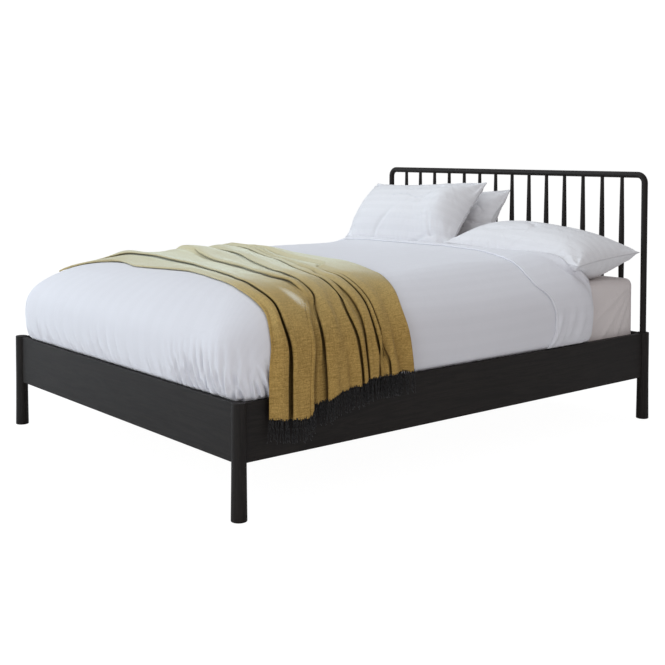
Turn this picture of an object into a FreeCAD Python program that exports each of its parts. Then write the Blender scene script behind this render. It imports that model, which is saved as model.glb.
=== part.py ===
import FreeCAD, Part
import math
import os

V = FreeCAD.Vector

# Spindle bed, king size, with its mattress and bedding.
# Millimetres. +Z up, head of the bed at +Y, foot at -Y, origin on the floor
# under the middle of the bed.

# ---- driving dimensions ----------------------------------------------------
LEG_X = 773.0            # leg axis, each side of the middle
LEG_Y = 1030.0           # leg axis, towards head and foot
LEG_TOP = 362.0
LEG_R_FOOT = 25.5        # the legs flare a little to the floor
LEG_R_TOP = 23.5
FACE_OFF = 8.0           # outer face of rails and panels, outside the leg axis
RAIL_T = 22.0
RAIL_Z0 = 175.0
RAIL_Z1 = 359.0
EDGE_R = 1.5             # eased edges of the boards

HOOP_R = 13.0            # round bar of the headboard hoop
HOOP_Y = 1027.0
HOOP_Z = 1020.0          # axis of the top bar
HOOP_BEND = 34.0         # bend radius of the bar's axis
HOOP_TENON_R = 9.0
HOOP_TENON_L = 45.0

SPINDLES = 14
SPINDLE_PITCH = 101.7
SPINDLE_END_R = 7.7
SPINDLE_BELLY_R = 11.9
SPINDLE_TENON_R = 6.0
SPINDLE_TENON_L = 25.0
SPINDLE_TOP = 1014.0     # end of the spindle inside the hoop

LEDGER_W = 30.0
LEDGER_H = 35.0
LEDGER_L = 1870.0
SLATS = 12
SLAT_W = 90.0
SLAT_T = 20.0
SLAT_PITCH = 160.0
SLAT_L = 1510.0
SLAT_TOP = 318.0

BEAM_W = 50.0
BEAM_H = 60.0
PROP_Y = 400.0           # props under the centre beam
PROP_R = 20.0

MATT_X = 749.0           # half width of the mattress
MATT_Y = 999.0
MATT_Z0 = 318.4
MATT_Z1 = 588.0
SHEET_T = 1.0

DUVET_X = 785.0
DUVET_FOOT = -1045.0
DUVET_HEAD = 690.0
DUVET_Z0 = 363.0
DUVET_Z1 = 652.0
BAND_Y0 = 430.0          # turned-back end of the duvet
BAND_Z1 = 718.0
DUVET_R = 110.0

THROW_T = 12.0
FRINGE_L = 78.0

# ---- derived ----------------------------------------------------------------
FACE_X = LEG_X + FACE_OFF
FACE_Y = LEG_Y + FACE_OFF
IN_X = FACE_X - RAIL_T
IN_Y = FACE_Y - RAIL_T
LEDGER_TOP = SLAT_TOP - SLAT_T
BEAM_TOP = LEDGER_TOP
BEAM_Z0 = BEAM_TOP - BEAM_H

nodes = {}


# ---- helpers ----------------------------------------------------------------
def box(x0, x1, y0, y1, z0, z1):
    return Part.makeBox(x1 - x0, y1 - y0, z1 - z0, V(x0, y0, z0))


def rod(p, d, r, length):
    return Part.makeCylinder(r, length, V(*p), V(*d))


def prism(points, height):
    """Solid from a closed list of 3-D points and a height vector."""
    pts = [V(*p) for p in points]
    wire = Part.makePolygon(pts + [pts[0]])
    return Part.Face(wire).extrude(V(*height))


def long_edges(shape, axis, test=None):
    out = []
    for e in shape.Edges:
        a, b = e.Vertexes[0].Point, e.Vertexes[-1].Point
        d = b - a
        if d.Length > 1 and abs(abs(d.normalize().dot(V(*axis))) - 1) < 1e-6:
            if test is None or test((a + b) * 0.5):
                out.append(e)
    return out


def eased(shape, axis, r=EDGE_R):
    return shape.makeFillet(r, long_edges(shape, axis))


def cut(shape, tools):
    for t in tools:
        shape = shape.cut(t)
    return shape


def turned(profile, base=(0, 0, 0)):
    """Solid of revolution about a vertical axis: profile is (z, r) pairs of a
    smooth curve, bottom to top."""
    pts = [V(r, 0, z) for z, r in profile]
    curve = Part.BSplineCurve()
    curve.interpolate(pts)
    top, bottom = V(0, 0, profile[-1][0]), V(0, 0, profile[0][0])
    wire = Part.Wire([
        Part.makeLine(bottom, pts[0]), curve.toShape(),
        Part.makeLine(pts[-1], top), Part.makeLine(top, bottom)])
    solid = Part.Face(wire).revolve(V(0, 0, 0), V(0, 0, 1), 360)
    solid = Part.Solid(Part.Shell(solid.Faces)) if solid.ShapeType != "Solid" else solid
    solid.translate(V(*base))
    return solid


def hexagon(p, d, af, h):
    """Six-sided nut blank standing on point p along direction d."""
    r = af / 2 / math.cos(math.pi / 6)
    pts = [V(r * math.cos(math.radians(60 * k)), r * math.sin(math.radians(60 * k)), 0) for k in range(6)]
    s = Part.Face(Part.makePolygon(pts + [pts[0]])).extrude(V(0, 0, h))
    s.Placement = FreeCAD.Placement(V(*p), FreeCAD.Rotation(V(0, 0, 1), V(*d)))
    return s


def screw(p, d, length, r=2.0, head_r=3.6, head_h=2.0):
    """Pan-head screw: p under the head, d into the wood."""
    d = V(*d)
    shank = Part.makeCylinder(r, length, V(*p), d)
    head = Part.makeCylinder(head_r, head_h, V(*p) - d * head_h, d)
    return shank.fuse(head).removeSplitter()


def sunk_screw(p, d, length, r=2.0, head_r=4.0, head_h=2.6):
    """Countersunk screw: p at the flush head face, d into the wood."""
    d = V(*d)
    head = Part.makeCone(head_r, r, head_h, V(*p), d)
    shank = Part.makeCylinder(r, length - head_h, V(*p) + d * head_h, d)
    return head.fuse(shank).removeSplitter()


# ---- fasteners, made first because their holes are cut in the wood -----------
corners = {"foot_near": (1, -1), "foot_far": (-1, -1), "head_near": (1, 1), "head_far": (-1, 1)}
BOLT_Z = (228.0, 282.0)
PLATE_OFF = 40.0
PLATE_T = 3.0
PLATE_MID = (LEG_X - IN_X + PLATE_OFF / 2) * math.sqrt(2)   # leg axis to plate
bolts, nuts, bracket_screws, timber_screws = [], [], [], []
leg_bolt_holes, rail_bolt_holes, plate_bolt_holes = [], [], []

for sx, sy in corners.values():
    d = V(-sx, -sy, 0).normalize()
    for z in BOLT_Z:
        axis = V(sx * LEG_X, sy * LEG_Y, z)
        bolts.append(rod(tuple(axis + d * 3.0), tuple(d), 4.0, 58.5))
        leg_bolt_holes.append(rod(tuple(axis + d * 3.0), tuple(d), 4.0, 58.5))
        rail_bolt_holes.append(rod(tuple(axis), tuple(d), 4.8, 60.0))
        plate_bolt_holes.append(rod(tuple(axis), tuple(d), 4.4, 80.0))
        nut = hexagon(tuple(axis + d * (PLATE_MID + PLATE_T)), tuple(d), 13.0, 6.5)
        nuts.append(nut.cut(rod(tuple(axis), tuple(d), 4.0, 80.0)))
    for z in (215.0, 295.0):
        bracket_screws.append(screw((sx * (IN_X - PLATE_T), sy * (IN_Y - 62.0), z), (sx, 0, 0), 16.0))
        bracket_screws.append(screw((sx * (IN_X - 62.0), sy * (IN_Y - PLATE_T), z), (0, sy, 0), 16.0))

for sy in (-1, 1):
    for sx in (-1, 1):
        bracket_screws.append(screw((sx * 37.0, sy * (IN_Y - 2.0), 268.0), (0, sy, 0), 16.0))

slat_y = [(i - (SLATS - 1) / 2) * SLAT_PITCH for i in range(SLATS)]
for y in slat_y:
    for sx in (-1, 1):
        timber_screws.append(sunk_screw((sx * 744.0, y, SLAT_TOP), (0, 0, -1), 45.0))
for sx in (-1, 1):
    for k in range(-3, 4):
        timber_screws.append(sunk_screw((sx * (IN_X - LEDGER_W), 300.0 * k, 280.5), (sx, 0, 0), 45.0))

# ---- legs: turned, flaring to the floor, housed for the rails ----------------
leg_profile = [(3.0, LEG_R_FOOT), (65.0, 24.7), (120.0, 24.1), (175.0, 23.6), (260.0, 23.5), (LEG_TOP - 1.5, LEG_R_TOP)]


def leg():
    curve = Part.BSplineCurve()
    curve.interpolate([V(r, 0, z) for z, r in leg_profile])
    lo = Part.Arc(V(LEG_R_FOOT - 3.0, 0, 0), V(LEG_R_FOOT - 0.88, 0, 0.88), V(LEG_R_FOOT, 0, 3.0)).toShape()
    hi = Part.Arc(V(LEG_R_TOP, 0, LEG_TOP - 1.5), V(LEG_R_TOP - 0.44, 0, LEG_TOP - 0.44), V(LEG_R_TOP - 1.5, 0, LEG_TOP)).toShape()
    a, b = V(0, 0, 0), V(0, 0, LEG_TOP)
    wire = Part.Wire([Part.makeLine(a, V(LEG_R_FOOT - 3.0, 0, 0)), lo, curve.toShape(), hi,
                      Part.makeLine(V(LEG_R_TOP - 1.5, 0, LEG_TOP), b), Part.makeLine(b, a)])
    s = Part.Face(wire).revolve(V(0, 0, 0), V(0, 0, 1), 360)
    return Part.Solid(Part.Shell(s.Faces)) if s.ShapeType != "Solid" else s


for name, (sx, sy) in corners.items():
    s = leg()
    s.translate(V(sx * LEG_X, sy * LEG_Y, 0))
    xs, ys = sorted((sx * IN_X, sx * FACE_X)), sorted((sy * IN_Y, sy * FACE_Y))
    inner_y = sorted((sy * IN_Y, sy * (IN_Y - 60)))
    inner_x = sorted((sx * IN_X, sx * (IN_X - 60)))
    s = s.cut(box(xs[0], xs[1], inner_y[0], inner_y[1], RAIL_Z0, RAIL_Z1))
    s = s.cut(box(inner_x[0], inner_x[1], ys[0], ys[1], RAIL_Z0, RAIL_Z1))
    s = s.cut(box(inner_x[0], inner_x[1], inner_y[0], inner_y[1], RAIL_Z0, RAIL_Z1))
    s = cut(s, [h for h in leg_bolt_holes if h.distToShape(s)[0] < 1e-6])
    if sy > 0:
        s = s.cut(rod((sx * LEG_X, HOOP_Y, LEG_TOP - HOOP_TENON_L), (0, 0, 1), HOOP_TENON_R, HOOP_TENON_L + 1))
    nodes["leg_" + name] = s

# ---- boards ------------------------------------------------------------------
near_bolts = lambda s: [h for h in rail_bolt_holes if h.distToShape(s)[0] < 1e-6]
near = lambda s, tools: [t for t in tools if t.distToShape(s)[0] < 1e-6]

for name, sx in (("side_rail_near", 1), ("side_rail_far", -1)):
    xs = sorted((sx * IN_X, sx * FACE_X))
    s = eased(box(xs[0], xs[1], -IN_Y, IN_Y, RAIL_Z0, RAIL_Z1), (0, 1, 0))
    s = cut(s, near_bolts(s))
    nodes[name] = cut(s, near(s, bracket_screws + timber_screws))

for name, sy in (("foot_panel", -1), ("head_panel", 1)):
    ys = sorted((sy * IN_Y, sy * FACE_Y))
    s = eased(box(-IN_X, IN_X, ys[0], ys[1], RAIL_Z0, RAIL_Z1), (1, 0, 0))
    s = cut(s, near_bolts(s))
    nodes[name] = cut(s, near(s, bracket_screws))

# ---- spindles: turned, slim at the top, fullest in the middle ----------------
spindle_x = [(i - (SPINDLES - 1) / 2) * SPINDLE_PITCH for i in range(SPINDLES)]
mid = (RAIL_Z1 + HOOP_Z - HOOP_R) / 2
spindle_profile = [(RAIL_Z1, SPINDLE_END_R), (416, 8.6), (466, 9.5), (516, 10.3), (566, 11.1), (626, 11.7),
                   (mid, SPINDLE_BELLY_R), (740, 11.7), (800, 11.1), (850, 10.3), (900, 9.5), (950, 8.6), (1000, SPINDLE_END_R)]
sockets = []
for i, x in enumerate(spindle_x):
    body = turned(spindle_profile, (x, HOOP_Y, 0))
    neck = rod((x, HOOP_Y, 1000.0), (0, 0, 1), SPINDLE_END_R, SPINDLE_TOP - 1000.0)
    tenon = rod((x, HOOP_Y, RAIL_Z1 - SPINDLE_TENON_L), (0, 0, 1), SPINDLE_TENON_R, SPINDLE_TENON_L)
    nodes["spindle_%02d" % (i + 1)] = body.fuse([neck, tenon]).removeSplitter()
    sockets.append(neck)
    nodes["head_panel"] = nodes["head_panel"].cut(tenon)

# ---- headboard hoop: one round bar bent at the top corners -------------------
top_z = HOOP_Z - HOOP_BEND
straight = LEG_X - HOOP_BEND


def bend(sx):
    """Quarter turn of the bar at a top corner."""
    c = V(sx * straight, HOOP_Y, top_z)
    disc = Part.Face(Part.Wire(Part.makeCircle(HOOP_R, V(sx * LEG_X, HOOP_Y, top_z), V(0, 0, 1))))
    return disc.revolve(c, V(0, -sx, 0), 90)


parts = [rod((-straight, HOOP_Y, HOOP_Z), (1, 0, 0), HOOP_R, 2 * straight)]
for sx in (-1, 1):
    parts.append(rod((sx * LEG_X, HOOP_Y, LEG_TOP), (0, 0, 1), HOOP_R, top_z - LEG_TOP))
    parts.append(rod((sx * LEG_X, HOOP_Y, LEG_TOP - HOOP_TENON_L), (0, 0, 1), HOOP_TENON_R, HOOP_TENON_L))
    parts.append(bend(sx))
hoop = parts[0].fuse(parts[1:]).removeSplitter()
nodes["headboard_hoop"] = cut(hoop, sockets)

# ---- slat support ------------------------------------------------------------
for name, sx in (("ledger_near", 1), ("ledger_far", -1)):
    xs = sorted((sx * (IN_X - LEDGER_W), sx * IN_X))
    s = box(xs[0], xs[1], -LEDGER_L / 2, LEDGER_L / 2, LEDGER_TOP - LEDGER_H, LEDGER_TOP)
    nodes[name] = cut(s, near(s, timber_screws))

for i, y in enumerate(slat_y):
    s = eased(box(-SLAT_L / 2, SLAT_L / 2, y - SLAT_W / 2, y + SLAT_W / 2, LEDGER_TOP, SLAT_TOP), (1, 0, 0), 2.0)
    nodes["slat_%02d" % (i + 1)] = cut(s, near(s, timber_screws))

beam = box(-BEAM_W / 2, BEAM_W / 2, -IN_Y + 2, IN_Y - 2, BEAM_Z0, BEAM_TOP)
for sy in (-1, 1):
    beam = beam.cut(rod((0, sy * PROP_Y, BEAM_Z0 - 1), (0, 0, 1), 6.0, 31.0))
nodes["centre_beam"] = beam

for name, sy in (("beam_saddle_foot", -1), ("beam_saddle_head", 1)):
    def yb(a, b):
        return sorted((sy * a, sy * b))
    back = yb(IN_Y - 2, IN_Y)
    arm = yb(IN_Y - 42, IN_Y)
    w = BEAM_W / 2
    s = box(-w - 22, w + 22, back[0], back[1], BEAM_Z0 - 2, BEAM_TOP)
    s = s.fuse([box(-w - 2, -w, arm[0], arm[1], BEAM_Z0 - 2, BEAM_TOP - 20),
                box(w, w + 2, arm[0], arm[1], BEAM_Z0 - 2, BEAM_TOP - 20),
                box(-w - 2, w + 2, arm[0], arm[1], BEAM_Z0 - 2, BEAM_Z0)]).removeSplitter()
    nodes[name] = cut(s, near(s, bracket_screws))

for name, sy in (("prop_foot_end", -1), ("prop_head_end", 1)):
    y = sy * PROP_Y
    s = rod((0, y, 14.0), (0, 0, 1), PROP_R, BEAM_Z0 - 14.0).fuse(rod((0, y, BEAM_Z0), (0, 0, 1), 6.0, 30.0)).removeSplitter()
    nodes[name] = s.cut(rod((0, y, 10.0), (0, 0, 1), 4.0, 40.0))
    nodes["levelling_foot_" + ("a" if sy < 0 else "b")] = rod((0, y, 0), (0, 0, 1), 17.0, 10.0).fuse(
        rod((0, y, 10.0), (0, 0, 1), 4.0, 40.0)).removeSplitter()

# ---- corner brackets: pressed steel plates across each inside corner ---------
o, t = PLATE_OFF, PLATE_T
w = o + t * math.sqrt(2) - t
outline = [(0, 80), (0, o), (o, 0), (80, 0), (80, t), (w, t), (t, w), (t, 80)]
for name, (sx, sy) in corners.items():
    pts = [(sx * (IN_X - u), sy * (IN_Y - v), 200.0) for u, v in outline]
    s = prism(pts, (0, 0, 110.0))
    s = cut(s, near(s, plate_bolt_holes))
    nodes["corner_bracket_" + name] = cut(s, near(s, bracket_screws))

nodes["leg_bolts"] = Part.makeCompound(bolts)
nodes["leg_nuts"] = Part.makeCompound(nuts)
nodes["bracket_screws"] = Part.makeCompound(bracket_screws)
nodes["timber_screws"] = Part.makeCompound(timber_screws)

# ---- mattress and fitted sheet ----------------------------------------------
def soft_block(hx, y0, y1, z0, z1, r_vert, r_top, r_bot=None):
    s = box(-hx, hx, y0, y1, z0, z1)
    s = s.makeFillet(r_vert, long_edges(s, (0, 0, 1)))
    tops = [e for e in s.Edges if all(abs(v.Point.z - z1) < 1e-6 for v in e.Vertexes)]
    s = s.makeFillet(r_top, tops)
    if r_bot:
        bots = [e for e in s.Edges if all(abs(v.Point.z - z0) < 1e-6 for v in e.Vertexes)]
        s = s.makeFillet(r_bot, bots)
    return s


mattress = soft_block(MATT_X, -MATT_Y, MATT_Y, MATT_Z0, MATT_Z1, 45.0, 30.0)
nodes["mattress"] = mattress
t = SHEET_T
wrap = soft_block(MATT_X + t, -MATT_Y - t, MATT_Y + t, MATT_Z0 + 2, MATT_Z1 + t, 45.0 + t, 30.0 + t)
nodes["fitted_sheet"] = wrap.cut(mattress)

# ---- duvet: over the mattress, tucked inside the frame, turned back at the head
GAP = 0.5
hollow = soft_block(MATT_X + t + GAP, -MATT_Y - t - GAP, MATT_Y + 40, MATT_Z0 - 30, MATT_Z1 + t + GAP, 46.5, 31.5)
outer = box(-DUVET_X, DUVET_X, DUVET_FOOT, DUVET_HEAD, DUVET_Z0, DUVET_Z1)
outer = outer.makeFillet(DUVET_R, long_edges(outer, (0, 0, 1), lambda m: m.y < 0))
tops = [e for e in outer.Edges if all(abs(v.Point.z - DUVET_Z1) < 1e-6 for v in e.Vertexes)
        and not all(abs(v.Point.y - DUVET_HEAD) < 1e-6 for v in e.Vertexes)]
outer = outer.makeFillet(DUVET_R - 10, tops)
band = box(-DUVET_X + 12, DUVET_X - 12, BAND_Y0, DUVET_HEAD, DUVET_Z1 - 60, BAND_Z1)
band = band.makeFillet(75.0, long_edges(band, (0, 1, 0), lambda m: m.z > DUVET_Z1))
tuck = box(-IN_X + GAP, IN_X - GAP, -IN_Y + GAP, DUVET_HEAD, 337.0, DUVET_Z0 + 1)
tuck = tuck.makeFillet(46.0, long_edges(tuck, (0, 0, 1), lambda m: m.y < 0))
duvet = outer.fuse([band, tuck]).cut(hollow)
solids = sorted(duvet.Solids, key=lambda q: -q.Volume)
nodes["duvet"] = solids[0].removeSplitter()

# ---- throw: across the foot end, over the near side and down outside the rail
TX = DUVET_X + GAP
TZ = DUVET_Z1 + GAP
r_in = DUVET_R - 10 + GAP
cx, cz = TX - r_in, TZ - r_in


def strip(x_far, z_low, r0, r1):
    """Cross-section of a layer that lies on the duvet and hangs at its near side."""
    a0, a1 = V(x_far, 0, cz + r0), V(x_far, 0, cz + r1)
    c45 = math.sqrt(0.5)
    inner = Part.Arc(V(cx, 0, cz + r0), V(cx + r0 * c45, 0, cz + r0 * c45), V(cx + r0, 0, cz)).toShape()
    outer_arc = Part.Arc(V(cx + r1, 0, cz), V(cx + r1 * c45, 0, cz + r1 * c45), V(cx, 0, cz + r1)).toShape()
    wire = Part.Wire([
        Part.makeLine(a0, V(cx, 0, cz + r0)), inner,
        Part.makeLine(V(cx + r0, 0, cz), V(cx + r0, 0, z_low)),
        Part.makeLine(V(cx + r0, 0, z_low), V(cx + r1, 0, z_low)),
        Part.makeLine(V(cx + r1, 0, z_low), V(cx + r1, 0, cz)),
        outer_arc, Part.makeLine(V(cx, 0, cz + r1), a1), Part.makeLine(a1, a0)])
    return Part.Face(wire)


layer = strip(-700.0, 180.0, r_in, r_in + THROW_T).extrude(V(0, 1400, 0))
layer.translate(V(0, -1200, 0))
plan = [(-760, -770), (-98, -650), (288, -745), (640, -905), (800, -940), (800, -328), (620, -328), (438, -194), (96, -40), (-760, -60)]
plan_prism = prism([(x, y, 100.0) for x, y in plan], (0, 0, 700.0))
hem = [(-940, 296), (-787, 289), (-781, 322), (-700, 325), (-645, 366), (-551, 362), (-530, 376), (-328, 378)]
hem_prism = prism([(700.0, y, z) for y, z in hem] + [(700.0, -300, 800.0), (700.0, -1100, 800.0), (700.0, -1100, 296.0)], (200.0, 0, 0))
side = layer.common(plan_prism).common(hem_prism)
top = layer.common(plan_prism).common(box(-800, 701, -1200, 200, 500, 800))
throw = top.fuse(side).removeSplitter()
nodes["throw"] = sorted(throw.Solids, key=lambda q: -q.Volume)[0]

fringe_pts = hem + [(y, z - FRINGE_L) for y, z in reversed(hem)]
fringe = prism([(cx + r_in + 2.0, y, z) for y, z in fringe_pts], (THROW_T - 4.0, 0, 0))
nodes["throw_fringe"] = fringe


# ---- pillows: plain crowned blocks, fullest in the middle ---------------------
def pillow(x0, x1, section, mid_yz, squeeze=0.45, end=130.0):
    def wire(x, k):
        pts = [V(x, mid_yz[0] + (y - mid_yz[0]) * (0.75 + 0.25 * k), mid_yz[1] + (z - mid_yz[1]) * k) for y, z in section]
        return Part.makePolygon(pts + [pts[0]])
    return Part.makeLoft([wire(x0, squeeze), wire(x0 + end, 1.0), wire(x1 - end, 1.0), wire(x1, squeeze)], True, True)


nodes["pillow_near"] = pillow(14.0, 775.0, [(693, 640), (735, 592), (860, 592), (1005, 668), (1005, 712), (915, 802), (800, 802), (693, 700)], (850, 690))
nodes["pillow_front"] = pillow(-735.0, 10.0, [(640, 722), (788, 722), (915, 945), (905, 972), (880, 972), (745, 900), (665, 815), (640, 765)], (780, 830))
nodes["pillow_back"] = pillow(-665.0, 10.0, [(724, 592), (900, 592), (1005, 730), (1005, 905), (990, 948), (965, 948), (815, 760)], (880, 730))

# ---- write -------------------------------------------------------------------
os.makedirs("parts", exist_ok=True)
for name, shape in nodes.items():
    bad = [s for s in shape.Solids if not s.isValid()]
    print("%-28s solids %3d  volume %.0f  %s" % (name, len(shape.Solids), shape.Volume, "INVALID" if bad or not shape.Solids else "ok"))
    shape.exportStep("parts/" + name + ".step")
print(len(nodes), "nodes")
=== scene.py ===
import math

import bpy
import numpy as np
from mathutils import Matrix, Vector, noise
from mathutils.bvhtree import BVHTree


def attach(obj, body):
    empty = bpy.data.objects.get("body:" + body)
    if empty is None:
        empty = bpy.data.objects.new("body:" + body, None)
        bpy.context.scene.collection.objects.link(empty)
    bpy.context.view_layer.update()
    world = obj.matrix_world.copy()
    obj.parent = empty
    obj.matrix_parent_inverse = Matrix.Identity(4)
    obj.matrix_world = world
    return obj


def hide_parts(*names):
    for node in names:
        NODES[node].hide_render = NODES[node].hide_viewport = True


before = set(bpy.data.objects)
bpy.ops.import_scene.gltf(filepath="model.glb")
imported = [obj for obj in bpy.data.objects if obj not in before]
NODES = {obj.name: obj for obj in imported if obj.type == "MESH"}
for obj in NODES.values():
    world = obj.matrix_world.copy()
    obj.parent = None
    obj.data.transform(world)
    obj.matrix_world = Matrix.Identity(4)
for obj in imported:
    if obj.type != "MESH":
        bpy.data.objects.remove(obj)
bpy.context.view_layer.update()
scene = bpy.context.scene
rng = np.random.default_rng(7)


# ---------------------------------------------------------------- camera
CAM = np.array([3.5028, -2.9363, 1.1242])
YAW, PITCH, ROLL = math.radians(50.676), math.radians(2.30), math.radians(0.08)
FOCAL_PX, PX, PY = 1110.84, 323.84, 194.10


def camera_axes():
    f = np.array([-math.sin(YAW) * math.cos(PITCH), math.cos(YAW) * math.cos(PITCH), -math.sin(PITCH)])
    r = np.array([math.cos(YAW), math.sin(YAW), 0.0])
    u = np.cross(r, f)
    return math.cos(ROLL) * r + math.sin(ROLL) * u, -math.sin(ROLL) * r + math.cos(ROLL) * u, f


CR, CU, CF = camera_axes()
cam_data = bpy.data.cameras.new("camera")
cam = bpy.data.objects.new("camera", cam_data)
scene.collection.objects.link(cam)
rot = Matrix(((CR[0], CU[0], -CF[0]), (CR[1], CU[1], -CF[1]), (CR[2], CU[2], -CF[2])))
cam.matrix_world = Matrix.Translation(Vector(CAM)) @ rot.to_4x4()
cam_data.sensor_fit = "HORIZONTAL"
cam_data.sensor_width = 36.0
cam_data.lens = FOCAL_PX / 665.0 * 36.0
cam_data.shift_x = (332.5 - PX) / 665.0
cam_data.shift_y = (PY - 332.5) / 665.0
cam_data.clip_start, cam_data.clip_end = 0.05, 200.0
scene.camera = cam


def sight(px, py):
    """The direction in which the camera sees a point of the 665 by 665 frame."""
    d = CF * FOCAL_PX + CR * (px - PX) - CU * (py - PY)
    return d / np.linalg.norm(d)


def on_plane(px, py, axis, value):
    d = sight(px, py)
    return CAM + d * (value - CAM[axis]) / d[axis]


# ---------------------------------------------------------------- node material helpers
def new_mat(name):
    m = bpy.data.materials.new(name)
    m.use_nodes = True
    nt = m.node_tree
    return m, nt, nt.nodes["Principled BSDF"]


def add(nt, kind, **values):
    n = nt.nodes.new(kind)
    for k, v in values.items():
        if hasattr(n, k):
            setattr(n, k, v)
        else:
            n.inputs[k.replace("_", " ")].default_value = v
    return n


def ramp(nt, fac, stops):
    n = nt.nodes.new("ShaderNodeValToRGB")
    e = n.color_ramp.elements
    while len(e) < len(stops):
        e.new(0.5)
    for i, (pos, col) in enumerate(stops):
        e[i].position = pos
        e[i].color = (*col, 1) if len(col) == 3 else col
    nt.links.new(fac, n.inputs[0])
    return n


def maths(nt, op, a, b=None, clamp=False):
    n = nt.nodes.new("ShaderNodeMath")
    n.operation = op
    n.use_clamp = clamp
    for i, v in enumerate((a, b)):
        if v is None:
            continue
        if isinstance(v, (int, float)):
            n.inputs[i].default_value = v
        else:
            nt.links.new(v, n.inputs[i])
    return n.outputs[0]


def mix_rgb(nt, fac, a, b, kind="MIX"):
    n = nt.nodes.new("ShaderNodeMix")
    n.data_type = "RGBA"
    n.blend_type = kind
    for sock, v in ((n.inputs[0], fac), (n.inputs[6], a), (n.inputs[7], b)):
        if isinstance(v, (int, float)):
            sock.default_value = v
        elif isinstance(v, tuple):
            sock.default_value = (*v, 1)
        else:
            nt.links.new(v, sock)
    return n.outputs[2]


def mapped(nt, source, scale, rotation=(0, 0, 0)):
    n = nt.nodes.new("ShaderNodeMapping")
    n.inputs["Scale"].default_value = scale
    n.inputs["Rotation"].default_value = rotation
    nt.links.new(source, n.inputs["Vector"])
    return n.outputs["Vector"]


def noise_tex(nt, vec, scale, detail=4.0, rough=0.55, distortion=0.0):
    n = nt.nodes.new("ShaderNodeTexNoise")
    n.inputs["Scale"].default_value = scale
    n.inputs["Detail"].default_value = detail
    n.inputs["Roughness"].default_value = rough
    n.inputs["Distortion"].default_value = distortion
    nt.links.new(vec, n.inputs["Vector"])
    return n.outputs["Fac"]


def bump(nt, height, strength, distance, normal=None):
    n = nt.nodes.new("ShaderNodeBump")
    n.inputs["Strength"].default_value = strength
    n.inputs["Distance"].default_value = distance
    nt.links.new(height, n.inputs["Height"])
    if normal is not None:
        nt.links.new(normal, n.inputs["Normal"])
    return n.outputs["Normal"]


def hollows(nt, col, reach, depth, tint, share=None):
    """Painted shade: darkens the colour towards tint inside narrow folds, where the cloth shades itself."""
    ao = nt.nodes.new("ShaderNodeAmbientOcclusion")
    ao.samples = 8
    ao.only_local = True
    ao.inputs["Distance"].default_value = reach
    f = ramp(nt, ao.outputs["AO"], [(0.22, (depth, depth, depth)), (0.90, (0, 0, 0))]).outputs[0]
    if share is not None:
        f = maths(nt, "MULTIPLY", f, share)
    return mix_rgb(nt, f, col, tint), f


def coords(nt, which="Object"):
    return nt.nodes.new("ShaderNodeTexCoord").outputs[which]


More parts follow.
